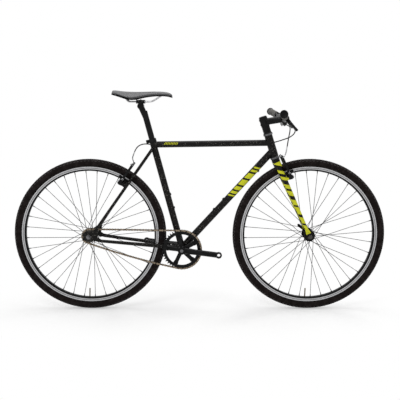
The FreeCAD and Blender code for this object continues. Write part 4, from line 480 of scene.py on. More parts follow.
@dataclass(frozen=True)
class Alloy(Finish):
    """Metal with a fine grain, handling marks and duller patches."""

    grain: float = 260.0
    grain_stretch: Triple = (1.0, 6.0, 1.0)
    clouds: float = 38.0
    cloud_share: float = 0.6
    wear: float = 0.25
    wear_edge: Pair = (0.35, 0.65)
    wear_lift: float = 0.02

    def surface(self, recipe: Recipe) -> None:
        """Grain in the gloss and small marks in the colour.

        Args:
            recipe: The material.
        """
        cloud = recipe.noise(self.clouds, 4.0)
        fine = recipe.noise(self.grain, 2.0, self.grain_stretch)
        pale = scaled(self.colour, 1 + self.wear, self.wear_lift * self.wear)
        dark = scaled(self.colour, 1 - self.wear)
        toned = recipe.fade(cloud * self.cloud_share + fine * (1 - self.cloud_share), *self.wear_edge)
        recipe.dress(Base_Color=recipe.blend(toned, dark, pale))
        recipe.dress(Roughness=fine * self.swing + cloud * self.swing + (self.roughness - self.swing))
        recipe.rough(fine, *self.relief)


@dataclass(frozen=True)
class BrakeRim(Finish):
    """Black rim with a bare turned track for the brake pads, and the groove that shows its wear."""

    centre: Vector = REAR_AXLE
    track: Pair = (0.3035, 0.3157)
    track_edge: float = 0.0008
    side: Pair = (0.0095, 0.0108)
    groove: Pair = (0.3083, 0.3103)
    bare: Colour = (0.55, 0.55, 0.56)
    bare_metallic: float = 0.9
    bare_dulling: float = 0.06
    smear: float = 0.72
    clouds: float = 70.0
    swing: float = 0.12
    turning: float = 9000.0
    relief: Pair = (0.12, 0.0002)

    def surface(self, recipe: Recipe) -> None:
        """Bare ring by distance from the axle, with turning lines.

        Args:
            recipe: The material.
        """
        square = recipe.square_from(self.centre)
        radius = square.math("SQRT", square)
        inner, outer = self.track
        bare = recipe.fade(radius, inner, inner + self.track_edge) * (radius < outer)
        start, end = self.groove
        flank = recipe.fade(abs(recipe.along(LEFT)), *self.side)
        ring = bare * flank * (1 - (radius > start) * (radius < end))
        phase = radius * self.turning
        cloud = recipe.noise(self.clouds, 3.0)
        smear = recipe.blend(cloud, self.bare, scaled(self.bare, self.smear))
        recipe.dress(Base_Color=recipe.blend(ring, self.colour, smear), Metallic=ring * self.bare_metallic)
        recipe.dress(Roughness=self.roughness + cloud * self.swing + ring * self.bare_dulling)
        recipe.rough(phase.math("SINE", phase) * ring, *self.relief)


@dataclass(frozen=True)
class MiddleBolt(Finish):
    """Black bolt heads round a bare bolt in the crank's middle."""

    centre: Vector = CRANK_AXLE
    bare: Colour = (0.16, 0.16, 0.165)
    bare_metallic: float = 0.9
    smear: float = 0.7
    reach: float = 0.02
    grain: float = 500.0
    swing: float = 0.15
    relief: Pair = (0.08, 0.0002)

    def surface(self, recipe: Recipe) -> None:
        """Bare near the crank's axis and black beyond, with a fine grain.

        Args:
            recipe: The material.
        """
        middle = recipe.square_from(self.centre) < self.reach * self.reach
        fine = recipe.noise(self.grain)
        grain = recipe.blend(fine, self.bare, scaled(self.bare, self.smear))
        recipe.dress(Base_Color=recipe.blend(middle, self.colour, grain))
        recipe.dress(Roughness=self.roughness + fine * self.swing, Metallic=middle * self.bare_metallic)
        recipe.rough(fine, *self.relief)


@dataclass(frozen=True)
class Rubber(Finish):
    """Matt rubber or soft plastic with a bloom of dust and a pebbled skin."""

    pebble: float = 1400.0
    clouds: float = 45.0
    bloom: Pair = (0.4, 0.7)
    dust: Pair = (1.6, 0.002)
    swing: float = 0.2
    relief: Pair = (0.15, 0.0005)

    def surface(self, recipe: Recipe) -> None:
        """Dust in the colour and pebbles in the skin.

        Args:
            recipe: The material.
        """
        cloud = recipe.noise(self.clouds, 4.0)
        dusty = scaled(self.colour, *self.dust)
        colour = recipe.blend(recipe.fade(cloud, *self.bloom), self.colour, dusty)
        recipe.dress(Base_Color=colour, Roughness=cloud * self.swing + (self.roughness - self.swing / 2))
        recipe.rough(recipe.noise(self.pebble), *self.relief)


@dataclass(frozen=True)
class Hide(Finish):
    """Smooth saddle cover with fine creases and a polish where it is sat on, whose crown is also painted paler as a
    highlight.
    """

    clouds: float = 22.0
    creases: float = 160.0
    crease_stretch: Triple = (1.0, 0.4, 1.0)
    # Heights over which the crown gets its polish and its painted highlight
    polish_and_highlight_heights: Pair = (0.985, 1.006)
    polish: float = 0.06
    cloud_share: float = 0.5
    # Share of the painted highlight in the crown's colour
    crown_highlight_share: float = 0.4
    paler: float = 1.4
    swing: float = 0.08
    relief: Pair = (0.015, 0.0005)

    def surface(self, recipe: Recipe) -> None:
        """Soft clouds in the colour, a polish on the crown, and a painted highlight that makes the crown paler.

        Args:
            recipe: The material.
        """
        cloud = recipe.noise(self.clouds, 3.0)
        crease = recipe.noise(self.creases, 2.0, self.crease_stretch)
        # Painted highlight: the top of the cover is made paler by height, standing in for light on the crown; the same
        # mask lowers the roughness there as polish
        toned = recipe.fade(recipe.along(UP), *self.polish_and_highlight_heights)
        share = cloud * self.cloud_share + toned * self.crown_highlight_share
        recipe.dress(Base_Color=recipe.blend(share, self.colour, scaled(self.colour, self.paler)))
        recipe.dress(Roughness=self.roughness + cloud * self.swing - toned * self.polish)
        recipe.rough(crease, *self.relief)


@dataclass(frozen=True)
class OiledSteel(Finish):
    """Warm steel with oil and grit in patches."""

    oil: Colour = (0.03, 0.024, 0.018)
    patches: float = 240.0
    grain: float = 1100.0
    oil_edge: Pair = (0.48, 0.66)
    oil_gloss: float = 0.1
    swing: float = 0.2
    relief: Pair = (0.1, 0.0002)

    def surface(self, recipe: Recipe) -> None:
        """Oil patches over a burnished colour.

        Args:
            recipe: The material.
        """
        patch = recipe.noise(self.patches, 3.0)
        fine = recipe.noise(self.grain)
        oily = recipe.fade(patch, *self.oil_edge)
        recipe.dress(Base_Color=recipe.blend(oily, self.colour, self.oil))
        recipe.dress(Roughness=self.roughness + fine * self.swing - oily * self.oil_gloss)
        recipe.rough(fine, *self.relief)


TUBE_WAY = Vector((0.683, 0.0, 0.7304))
TUBE_ACROSS = Vector((-0.7304, 0.0, 0.683))
BLADE_WAY = Vector((-0.41539, 0.0, 0.90964))
BLADE_ACROSS = Vector((0.90964, 0.0, 0.41539))
BLADE_FOOT = BLADE_WAY.dot(FRONT_AXLE)
STAY_FOOT = Vector((-0.49734, 0.0, 0.3463))
STAY_WAY = Vector((0.57697, 0.0, 0.81676))
STAY_ACROSS = Vector((-0.81676, 0.0, 0.57697))
PAINT_BLACK = (0.0036, 0.003, 0.0027)
METAL_BLACK = (0.004, 0.004, 0.0042)
JET_BLACK = (0.003, 0.003, 0.0032)
SOFT_PLASTIC = (0.05, 0.0005)
DOWN_BARS = Band(
    TUBE_WAY,
    TUBE_ACROSS,
    middle=0.2593,
    bars=(
        (0.487, 0.495),
        (0.503, 0.517),
        (0.526, 0.546),
        (0.556, 0.587),
        (0.597, 0.627),
        (0.637, 0.649),
        (0.658, 0.667),
    ),
    slant=0.55,
    half_height=0.0128,
)
TOP_BARS = Band(
    AHEAD,
    UP,
    middle=0.7725,
    bars=tuple((start * MILLIMETRE, (start + 3) * MILLIMETRE) for start in range(-158, -98, 7)),
    slant=-0.5,
    half_height=0.005,
)
BLADE_BASE = Band(BLADE_WAY, BLADE_ACROSS, middle=0.0, bars=((BLADE_FOOT + 0.014, BLADE_FOOT + 0.372),))
BLADE_BARS = (
    (0.058, 0.067),
    (0.098, 0.113),
    (0.15, 0.159),
    (0.186, 0.206),
    (0.23, 0.241),
    (0.262, 0.284),
    (0.3, 0.315),
    (0.331, 0.357),
)
BLADE_MARKS = Band(
    BLADE_WAY,
    BLADE_ACROSS,
    middle=BLADE_ACROSS.dot(FRONT_AXLE),
    bars=tuple((BLADE_FOOT + start, BLADE_FOOT + end) for start, end in BLADE_BARS),
    slant=0.7,
)


class Material(Enum):
    """Finishes of the bicycle."""

    PAINT = FleckPaint(PAINT_BLACK, 0.16)
    DOWN_PAINT = FleckPaint(PAINT_BLACK, 0.16, bands=(DOWN_BARS,))
    TOP_PAINT = FleckPaint(PAINT_BLACK, 0.16, bands=(TOP_BARS,))
    FORK_PAINT = FleckPaint(PAINT_BLACK, 0.16, bands=(BLADE_BASE,), marks=(BLADE_MARKS,))
    BLACK_ALLOY = Alloy(METAL_BLACK, 0.36, shine=0.1)
    GLOSS_ALLOY = Alloy(JET_BLACK, 0.24, shine=0.1)
    DULL_SILVER = Alloy((0.14, 0.14, 0.145), 0.36, metallic=1.0)
    STEEL = Alloy((0.45, 0.45, 0.46), 0.3, metallic=0.95)
    DARK_STEEL = Alloy((0.05, 0.048, 0.045), 0.38, metallic=0.85)
    SPOKE = Alloy(JET_BLACK, 0.34, shine=0.03)
    VALVE = Alloy((0.17, 0.14, 0.1), 0.36, metallic=0.9)
    BOLTS = MiddleBolt(METAL_BLACK, 0.34)
    CHAIN = OiledSteel((0.28, 0.225, 0.165), 0.36, metallic=0.85)
    DARK_CHAIN = OiledSteel((0.05, 0.04, 0.03), 0.42, metallic=0.8)
    TYRE = Rubber((0.011, 0.0085, 0.0082), 0.75, shine=0.015)
    # Painted highlight: the tyre's rubber made paler for the tread blocks, standing in for light caught by the blocks
    TREAD = Rubber((0.038, 0.035, 0.035), 0.75, shine=0.015)
    PAD = Rubber((0.005, 0.005, 0.0052), 0.7, shine=0.08)
    # Grey grip rubber made paler as a painted sheen, standing in for light reflected off the grips
    GRIP = Rubber((0.1, 0.097, 0.092), 0.55, pebble=900.0)
    PLUG = Rubber(METAL_BLACK, 0.45, relief=SOFT_PLASTIC)
    HOUSING = Rubber(JET_BLACK, 0.4, relief=SOFT_PLASTIC)
    SHELL = Rubber(JET_BLACK, 0.5, relief=(0.06, 0.0005))
    SADDLE = Hide((0.05, 0.05, 0.052), 0.42, shine=0.4)
    FRONT_RIM = BrakeRim(METAL_BLACK, 0.32, centre=FRONT_AXLE)
    REAR_RIM = BrakeRim(METAL_BLACK, 0.32, centre=REAR_AXLE)

    def get(self) -> bpy.types.Material:
        """The mixed material, made once."""
        name = "finish_" + self.name.lower()
        return bpy.data.materials.get(name) or self.value.make(name)


NODE_FINISHES: dict[Material, str] = {
    Material.PAINT: "head_tube seat_tube bottom_bracket_shell chainstays seatstays frame_bosses",
    Material.DOWN_PAINT: "down_tube",
    Material.TOP_PAINT: "top_tube",
    Material.FORK_PAINT: "fork_blades fork_crown",
    Material.BLACK_ALLOY: "headset_spacers headset_top_cap front_hub rear_hub",
    Material.GLOSS_ALLOY: "handlebar chainring seatpost",
    Material.DULL_SILVER: "headset_cups rear_axle",
    Material.BOLTS: "crank_bolts",
    Material.STEEL: "steerer_tube crank_spindle saddle_rails",
    Material.DARK_STEEL: "bottom_bracket rear_cog front_axle",
    Material.VALVE: "front_inner_tube rear_inner_tube",
    Material.PAD: "front_brake_pad_right front_brake_pad_left rear_brake_pad_right rear_brake_pad_left",
    Material.SHELL: "saddle_shell",
    Material.FRONT_RIM: "front_rim",
    Material.REAR_RIM: "rear_rim",
}


def shape(bm: bmesh.types.BMesh, name: str, angle: float = 40.0) -> bpy.types.Mesh:
    """Close a mesh under construction.

    Args:
        bm: The mesh under construction, which is freed.
        name: Its name.
        angle: Edges sharper than this, in degrees, stay sharp.

    Returns:
        A mesh with merged points, outward faces and smooth shading.
    """
    bmesh.ops.remove_doubles(bm, verts=bm.verts, dist=MERGE)
    bmesh.ops.recalc_face_normals(bm, faces=bm.faces)
    mesh = bpy.data.meshes.new(name)
    bm.to_mesh(mesh)
    bm.free()
    mesh.shade_smooth()
    mesh.set_sharp_from_angle(angle=math.radians(angle))
    return mesh


def bridge(bm: bmesh.types.BMesh, first: list[bmesh.types.BMVert], second: list[bmesh.types.BMVert]) -> None:
    """Join two rings of points, either of which may be a single point.

    Args:
        bm: The mesh under construction.
        first: One ring.
        second: The other ring.
    """
    count = max(len(first), len(second))
    for index in range(count):
        after = (index + 1) % count
        corners = [first[index % len(first)], first[after % len(first)]]
        corners += [second[after % len(second)], second[index % len(second)]]
        bm.faces.new(list(dict.fromkeys(corners)))


def skin(
    name: str, rings: Sequence[Ring], angle: float = 40.0, closed: bool = False, capped: bool = False
) -> bpy.types.Mesh:
    """Stretch a skin over rings of points.

    Args:
        name: Name of the mesh.
        rings: The rings in order, of which any may be a single point.
        angle: Edges sharper than this, in degrees, stay sharp.
        closed: Whether the last ring joins the first one.
        capped: Whether a flat face closes the first and the last ring.

    Returns:
        The mesh.
    """
    bm = bmesh.new()
    loops = [[bm.verts.new(point) for point in ring] for ring in rings]
    for first, second in zip(loops, loops[1:] + (loops[:1] if closed else [])):
        bridge(bm, first, second)
    if capped:
        bm.faces.new(loops[0])
        bm.faces.new(loops[-1])
    return shape(bm, name, angle)


def circle(middle: Vector, side: Vector, other: Vector, radius: float, steps: int) -> Ring:
    """Points round a middle, in the plane of two directions."""
    turns = [FULL_TURN * step / steps for step in range(steps)]
    return [middle + (side * math.cos(turn) + other * math.sin(turn)) * radius for turn in turns]


def lathe(
    name: str, profile: Sequence[Pair], steps: int, origin: Vector, axis: Vector, closed: bool = False
) -> bpy.types.Mesh:
    """Turn a profile about an axis.

    Args:
        name: Name of the mesh.
        profile: Distances along the axis and from it.
        steps: Sides of the turned form.
        origin: Start of the axis.
        axis: Its direction.
        closed: Whether the profile is a loop that stays clear of the axis.

    Returns:
        The turned mesh.
    """
    axis = axis.normalized()
    side = axis.orthogonal().normalized()
    rings = []
    for along, radius in profile:
        count = steps if radius > ON_AXIS else 1
        rings.append(circle(origin + axis * along, side, axis.cross(side), radius, count))
    return skin(name, rings, closed=closed)


def joined(name: str, meshes: Iterable[bpy.types.Mesh]) -> bpy.types.Mesh:
    """One mesh out of several, whose sources are removed.

    Args:
        name: Name of the mesh.
        meshes: What goes in.

    Returns:
        The joined mesh.
    """
    bm = bmesh.new()
    for mesh in meshes:
        bm.from_mesh(mesh)
        bpy.data.meshes.remove(mesh)
    return shape(bm, name)


def mirrored(mesh: bpy.types.Mesh) -> bpy.types.Mesh:
    """Copy a mesh to the other side of the bicycle's middle.

    Args:
        mesh: The mesh, which stays.

    Returns:
        Its mirror image.
    """
    copy = mesh.copy()
    copy.transform(Matrix.Scale(-1.0, 4, LEFT))
    copy.flip_normals()
    return copy


def linked(piece: bpy.types.Object) -> bpy.types.Object:
    """Put a new object into the scene."""
    bpy.context.scene.collection.objects.link(piece)
    return piece


def plain(piece: bpy.types.Object) -> bpy.types.Mesh:
    """A plain mesh of what an object's modifiers or curve make."""
    evaluated = piece.evaluated_get(bpy.context.evaluated_depsgraph_get())
    return bpy.data.meshes.new_from_object(evaluated)


def placed(name: str, mesh: bpy.types.Mesh, material: Material, body: str, slot: str) -> bpy.types.Object:
    """Put a finished mesh on the bicycle.

    Args:
        name: Name of the piece.
        mesh: Its shape, already in place.
        material: Its finish.
        body: The body it moves with.
        slot: The record's material slot.

    Returns:
        The piece.
    """
    mesh.materials.clear()
    mesh.materials.append(material.get())
    piece = linked(bpy.data.objects.new(name, mesh))
    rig.ride(piece, body)
    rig.slot(piece, slot)
    LOG.info("%s: %d faces on %s", name, len(mesh.polygons), body)
    return piece


Link = tuple[str, str, str, str]


@dataclass(frozen=True)
class GeometryRecipe:
    """A Geometry Nodes tree that makes copies of a shape and gives them a finish."""

    name: str
    inputs: tuple[tuple[str, str], ...]
    nodes: tuple[tuple[str, str], ...]
    links: tuple[Link, ...]
    settings: tuple[tuple[str, str, str], ...] = ()

    def tree(self) -> bpy.types.NodeTree:
        """The tree, made once.

        Returns:
            The tree, whose last steps make the copies real and set their finish.
        """
        known = bpy.data.node_groups.get(self.name)
        if known:
            return known
        tree = bpy.data.node_groups.new(self.name, "GeometryNodeTree")
        shared_inputs = (("Geometry", "NodeSocketGeometry"), ("Material", "NodeSocketMaterial"))
        for name, kind in shared_inputs + self.inputs:
            tree.interface.new_socket(name, in_out="INPUT", socket_type=kind)
        tree.interface.new_socket("Geometry", in_out="OUTPUT", socket_type="NodeSocketGeometry")
        shared_nodes = (
            ("start", "NodeGroupInput"),
            ("turn", "FunctionNodeEulerToRotation"),
            ("copies", "GeometryNodeInstanceOnPoints"),
            ("real", "GeometryNodeRealizeInstances"),
            ("finish", "GeometryNodeSetMaterial"),
            ("end", "NodeGroupOutput"),
        )
        nodes = {name: tree.nodes.new(kind) for name, kind in shared_nodes + self.nodes}
        for node, key, value in self.settings:
            setattr(nodes[node], key, value)
        shared_links = (
            ("turn", "Rotation", "copies", "Rotation"),
            ("copies", "Instances", "real", "Geometry"),
            ("real", "Geometry", "finish", "Geometry"),
            ("start", "Material", "finish", "Material"),
            ("finish", "Geometry", "end", "Geometry"),
        )
        for source, output, target, entry in self.links + shared_links:
            tree.links.new(nodes[source].outputs[output], nodes[target].inputs[entry])
        return tree

    def run(self, mesh: bpy.types.Mesh, values: dict[str, object]) -> bpy.types.Mesh:
        """Run the tree on a mesh, which is removed.

        Args:
            mesh: What the tree starts from.
            values: The tree's other inputs by name.

        Returns:
            A plain mesh.
        """
        source = linked(bpy.data.objects.new(self.name, mesh))
        modifier = source.modifiers.new(self.name, "NODES")
        modifier.node_group = self.tree()
        for socket in modifier.node_group.interface.items_tree:
            if socket.in_out == "INPUT" and socket.name in values:
                modifier[socket.identifier] = values[socket.name]
        result = plain(source)
        source.modifiers.clear()
        bpy.data.objects.remove(source)
        bpy.data.meshes.remove(mesh)
        return result


STEPPED_COPIES = GeometryRecipe(
    "stepped_copies",
    (("Count", "NodeSocketInt"), ("Offset", "NodeSocketVector"), ("Turn", "NodeSocketVector")),
    (("line", "GeometryNodeMeshLine"), ("index", "GeometryNodeInputIndex"), ("scale", "ShaderNodeVectorMath")),
    (
        ("start", "Count", "line", "Count"),
        ("start", "Offset", "line", "Offset"),
        ("start", "Turn", "scale", "Vector"),
        ("index", "Index", "scale", "Scale"),
        ("scale", "Vector", "turn", "Euler"),
        ("line", "Mesh", "copies", "Points"),
        ("start", "Geometry", "copies", "Instance"),
    ),
    (("scale", "operation", "SCALE"),),
)
COPIES_ON_POINTS = GeometryRecipe(
    "copies_on_points",
    (("Shape", "NodeSocketObject"), ("Turn Attribute", "NodeSocketString")),
    (
        ("shape", "GeometryNodeObjectInfo"),
        ("angle", "GeometryNodeInputNamedAttribute"),
        ("axis", "ShaderNodeCombineXYZ"),
    ),
    (
        ("start", "Shape", "shape", "Object"),
        ("start", "Turn Attribute", "angle", "Name"),
        ("angle", "Attribute", "axis", "Y"),
        ("axis", "Vector", "turn", "Euler"),
        ("start", "Geometry", "copies", "Points"),
        ("shape", "Geometry", "copies", "Instance"),
    ),
    (("angle", "data_type", "FLOAT"),),
)


@dataclass(frozen=True)
class Repeat:
    """Copies of a shape, each moved and turned by one more step."""

    count: int
    offset: Vector = Vector()
    turn: Vector = Vector()

    def run(self, mesh: bpy.types.Mesh, material: Material, centre: Vector = Vector()) -> bpy.types.Mesh:
        """Repeat a shape.

        Args:
            mesh: The shape, given about the origin.
            material: Its finish.
            centre: Where the origin goes.

        Returns:
            A plain mesh of all copies.
        """
        values = {"Count": self.count, "Offset": self.offset, "Turn": self.turn, "Material": material.get()}
        result = STEPPED_COPIES.run(mesh, values)
        result.transform(Matrix.Translation(centre))
        return result


@dataclass(frozen=True)
class Scatter:
    """Copies of a shape at given places, each turned about the cross axis."""

    places: tuple[tuple[Vector, float], ...]

    def run(self, mesh: bpy.types.Mesh, material: Material) -> bpy.types.Mesh:
        """Set the copies.

        Args:
            mesh: The shape, given about the origin.
            material: Its finish.

        Returns:
            A plain mesh of all copies.
        """
        dots = bpy.data.meshes.new("places")
        dots.from_pydata([tuple(place) for place, _ in self.places], [], [])
        turns = dots.attributes.new("turn", "FLOAT", "POINT")
        turns.data.foreach_set("value", [turn for _, turn in self.places])
        pattern = linked(bpy.data.objects.new("pattern", mesh))
        values = {"Shape": pattern, "Turn Attribute": "turn", "Material": material.get()}
        result = COPIES_ON_POINTS.run(dots, values)
        bpy.data.objects.remove(pattern)
        bpy.data.meshes.remove(mesh)
        return result


@dataclass
class Chain:
    """Roller chain: waisted plates, pins and rollers at the places of the solid links."""

    line: float = -0.043
    pitch: float = 0.0127
    end_radius: float = 0.0042
    waist: float = 0.0027
    thickness: float = 0.001
    inner_face: float = 0.00165
    outer_face: float = 0.00275
    pin: Pair = (0.0018, 0.0043)
    roller: Pair = (0.0038, 0.0016)
    plate_sweep: int = 125
    plate_step: int = 25
    post_sides: int = 10
    single_plate: float = 0.003
    merge: float = 2e-5

    def loose_parts(self, solid: bpy.types.Object) -> Iterator[list[Vector]]:
        """Take the solid chain apart.

        Args:
            solid: The solid chain.

        Returns:
            The points of each loose part.
        """
        bm = bmesh.new()
        bm.from_mesh(solid.data)
        bmesh.ops.remove_doubles(bm, verts=bm.verts, dist=self.merge)
        fresh = set(bm.verts)
        while fresh:
            queue = [fresh.pop()]
            spots = []
            while queue:
                vert = queue.pop()
                spots.append(vert.co.copy())
                near = [edge.other_vert(vert) for edge in vert.link_edges]
                queue += [other for other in near if other in fresh]
                fresh.difference_update(near)
            yield spots
        bm.free()

    def links(self, solid: bpy.types.Object) -> dict[bool, list[tuple[Vector, float]]]:
        """Find the links of the solid chain.

        Args:
            solid: The solid chain.

        Returns:
            Middle and turn of the outer links, under True, and of the inner ones, under False.
        """
        found = {True: [], False: []}
        for spots in self.loose_parts(solid):
            right, left = min(spot.y for spot in spots), max(spot.y for spot in spots)
            # The two plates of an outer link are loose parts of their own: the right one stands for both
            outer = left - right < self.single_plate
            if outer and right > self.line:
                continue
            middle = Vector((sum(spot.x for spot in spots), 0.0, sum(spot.z for spot in spots))) / len(spots)
            across = [(spot.x - middle.x, spot.z - middle.z) for spot in spots]
            spread = sum(x * x - z * z for x, z in across)
            lean = 0.5 * math.atan2(2 * sum(x * z for x, z in across), spread)
            found[outer].append((Vector((middle.x, self.line, middle.z)), -lean))
        return found

    def plate(self, face: float) -> bpy.types.Mesh:
        """One waisted plate along X, with its inner side at a distance from the chain's middle.

        Args:
            face: That distance, less than nought on the right.

        Returns:
            The plate.
        """
        half = self.pitch / 2
        sweep = range(-self.plate_sweep, self.plate_sweep + 1, self.plate_step)
        right = [math.radians(degrees) for degrees in sweep]
        outline = [(half + self.end_radius * math.cos(turn), self.end_radius * math.sin(turn)) for turn in right]
        outline.append((0.0, self.waist))
        outline += [(-x, -z) for x, z in outline]
        depths = (face, face + math.copysign(self.thickness, face))
        rings = [[Vector((x, depth, z)) for x, z in outline] for depth in depths]
        return skin("chain_plate", rings, angle=30.0, capped=True)

    def posts(self, radius: float, half: float) -> list[bpy.types.Mesh]:
        """Two round posts across a link, such as its pins or rollers.

        Args:
            radius: Their radius.
            half: Half their length.

        Returns:
            The posts.
        """
        profile = [(-half, 0.0), (-half, radius), (half, radius), (half, 0.0)]
        places = [AHEAD * (side * self.pitch / 2) for side in (-1, 1)]
        return [lathe("chain_post", profile, self.post_sides, place, LEFT) for place in places]

    def row(
        self, name: str, places: list[tuple[Vector, float]], face: float, post: Pair, material: Material
    ) -> bpy.types.Object:
        """Make all links of one kind.

        Args:
            name: Name of the piece.
            places: Middle and turn of each link.
            face: Distance of the plates from the chain's middle.
            post: Radius and half length of the pins or rollers.
            material: Its finish.

        Returns:
            The piece.
        """
        plates = [self.plate(side * face) for side in (-1, 1)]
        link = joined(name, plates + self.posts(*post))
        return placed(name, Scatter(tuple(places)).run(link, material), material, "frame", "chain_steel")

    def build(self, solid: bpy.types.Object) -> None:
        """Make the links.

        Args:
            solid: The solid chain whose places they take.
        """
        links = self.links(solid)
        outer = self.row("chain_outer_links", links[True], self.outer_face, self.pin, Material.CHAIN)
        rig.replaces(outer, "chain")
        self.row("chain_inner_links", links[False], self.inner_face, self.roller, Material.DARK_CHAIN)


@dataclass(frozen=True)
class BlockRow:
    """A row of tread blocks: its angle from the crown, its blocks' size, and their lean and lead."""

    turn: float
    length: float
    width: float
    skew: float = 0.0
    lead: float = 0.0


@dataclass
class Tyre:
    """A tyre with plain side walls, a rounded crown and small tread blocks."""

    name: str
    axle: Vector
    centre_radius: float = 0.3335
    crown_depth: float = 0.0163
    half_width: float = 0.0187
    section_radius: float = 0.0185278
    wall: float = 0.0022
    wall_line: float = 0.0004
    wall_lines: tuple[int, ...] = (84, 92, 116)
    bead: tuple[Pair, ...] = ((0.0107, 0.3172), (0.0095, 0.3125), (0.0075, 0.3125))
    outer_sweep: int = 124
    outer_step: int = 8
    inner_sweep: int = 112
    inner_step: int = 14
    steps: int = 168
    block_root: float = -0.0006
    block_rise: float = 0.0012
    block_taper: float = 0.8
    pitches: int = 132
    # Lengths and leads of the rows are shares of the pitch
    side_rows: tuple[BlockRow, ...] = (
        BlockRow(0.98, 0.62, 0.0052),
        BlockRow(0.62, 0.55, 0.0046, 0.35, 0.5),
        BlockRow(0.28, 0.62, 0.005, 0.5),
    )
    crown_row: BlockRow = BlockRow(0.0, 0.5, 0.004, lead=0.5)

    def spot(self, turn: float, rise: float = 0.0) -> Pair:
        """Place on the skin: across and radius, at an angle from the crown."""
        across = (self.half_width + rise) * math.sin(turn)
        return across, self.centre_radius + (self.crown_depth + rise) * math.cos(turn)

    def carcass(self) -> bpy.types.Mesh:
        """Hollow ring with a bead at each edge and fine lines on each wall.

        Returns:
            The ring.
        """
        outer = []
        for degrees in range(-self.outer_sweep, self.outer_sweep + 1, self.outer_step):
            line = self.wall_line if abs(degrees) in self.wall_lines else 0.0
            outer.append(self.spot(math.radians(degrees), line))
        back = range(self.inner_sweep, -self.inner_sweep - 1, -self.inner_step)
        inner = [self.spot(math.radians(degrees), -self.wall) for degrees in back]
        other_bead = [(-across, radius) for across, radius in reversed(self.bead)]
        profile = [*outer, *self.bead, *inner, *other_bead]
        return lathe(self.name, profile, self.steps, self.axle, LEFT, closed=True)

    def block(self, row: BlockRow, mirror: int, pitch: float) -> bpy.types.Mesh:
        """One raised block of the tread at the top of the wheel.

        Args:
            row: The row it belongs to.
            mirror: Side of the tyre, 1 or -1.
            pitch: Length of one pitch of the tread.

        Returns:
            The block, about the axle.
        """
        half = row.width / 2 / self.section_radius
        rings = []
        for rise, shrink in ((self.block_root, 1.0), (self.block_rise, self.block_taper)):
            ring = []
            for along, side in ((-1, -1), (1, -1), (1, 1), (-1, 1)):
                across, radius = self.spot(mirror * row.turn + side * half * shrink, rise)
                place = along * pitch * row.length / 2 * shrink + pitch * row.lead
                forward = (place + side * mirror * row.skew * row.width) / radius
                ring.append(Vector((radius * math.sin(forward), across, radius * math.cos(forward))))
            rings.append(ring)
        return skin("tread_block", rings, angle=20.0, capped=True)

    def build(self, body: str) -> None:
        """Make the tyre and its tread.

        Args:
            body: The wheel it turns with.
        """
        pitch = FULL_TURN * self.centre_radius / self.pitches
        blocks = [self.block(row, side, pitch) for side in (-1, 1) for row in self.side_rows]
        blocks.append(self.block(self.crown_row, 1, pitch))
        ring = Repeat(self.pitches, turn=LEFT * (FULL_TURN / self.pitches))
        # The tread blocks take the paler rubber, a painted highlight
        tread = ring.run(joined("tread_pitch", blocks), Material.TREAD, self.axle)
        piece = placed(self.name + "_cover", self.carcass(), Material.TYRE, body, "tyre_rubber")
        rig.replaces(piece, self.name)
        placed(self.name + "_tread", tread, Material.TREAD, body, "tyre_rubber")


@dataclass
class Spokes:
    """Thirty-six crossed spokes of a wheel, with their nipples at the rim."""

    name: str
    axle: Vector
    flange_half: float
    per_side: int = 18
    crossings: int = 3
    valve_tilt: float = 2.0
    side_shift: float = 0.25
    hub_radius: float = 0.0215
    rim_radius: float = 0.2962
    head_lift: float = 0.0027
    flange_edge: float = 0.0045
    lacing_radius: float = 0.2965
    radius: float = 0.00115
    sides: int = 8
    overlap: float = 0.001
    thread_gap: float = 0.006
    nipple_length: float = 0.012
    nipple: tuple[Pair, ...] = ((0.0, 0.0017), (0.005, 0.0018), (0.0056, 0.0021))

    def ends(self, side: int, way: int) -> tuple[Vector, Vector]:
        """First spoke of one group, about the axle.

        Args:
            side: Side of the wheel, 1 for the left.
            way: Leaning way, 1 or -1.

        Returns:
            Its hub end and its rim end.
        """
        step = FULL_TURN / self.per_side
        tilt = math.radians(self.valve_tilt)
        valve = math.atan2(-math.cos(tilt), -math.sin(tilt))
        rim_turn = valve + step * ((1 if way > 0 else 0) - side * self.side_shift)
        hub_turn = rim_turn - way * self.crossings * step
        fall = self.flange_half * self.flange_edge * self.crossings / self.lacing_radius
        height = side * (self.flange_half + (self.head_lift + fall if way > 0 else -self.head_lift))
        hub, rim = (AHEAD * math.cos(turn) + UP * math.sin(turn) for turn in (hub_turn, rim_turn))
        return hub * self.hub_radius + LEFT * height, rim * self.rim_radius

    def build(self, body: str) -> None:
        """Make the spokes and their nipples.

        Args:
            body: The wheel they turn with.
        """
        ring = Repeat(self.per_side // 2, turn=LEFT * (2 * FULL_TURN / self.per_side))
        spokes, nipples = [], []
        for side, way in ((-1, -1), (-1, 1), (1, -1), (1, 1)):
            hub, rim = self.ends(side, way)
            length = (rim - hub).length
            thin, tip = self.radius, length - self.thread_gap
            rod = [(-self.overlap, 0.0), (-self.overlap, thin), (tip, thin), (tip, 0.0)]
            spokes.append(ring.run(lathe("spoke", rod, self.sides, hub, rim - hub), Material.SPOKE, self.axle))
            start, end = length - self.nipple_length, length + self.overlap
            cap = [(start, thin), *((start + along, radius) for along, radius in self.nipple)]
            cap += [(end, self.nipple[-1][1]), (end, 0.0)]
            nut = lathe("nipple", cap, self.sides, hub, rim - hub)
            nipples.append(ring.run(nut, Material.BLACK_ALLOY, self.axle))
        piece = placed(self.name + "_set", joined(self.name + "_set", spokes), Material.SPOKE, body, "dark_steel")
        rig.replaces(piece, self.name)
        nuts = joined(self.name + "_nipples", nipples)
        placed(self.name + "_nipples", nuts, Material.BLACK_ALLOY, body, "black_alloy")


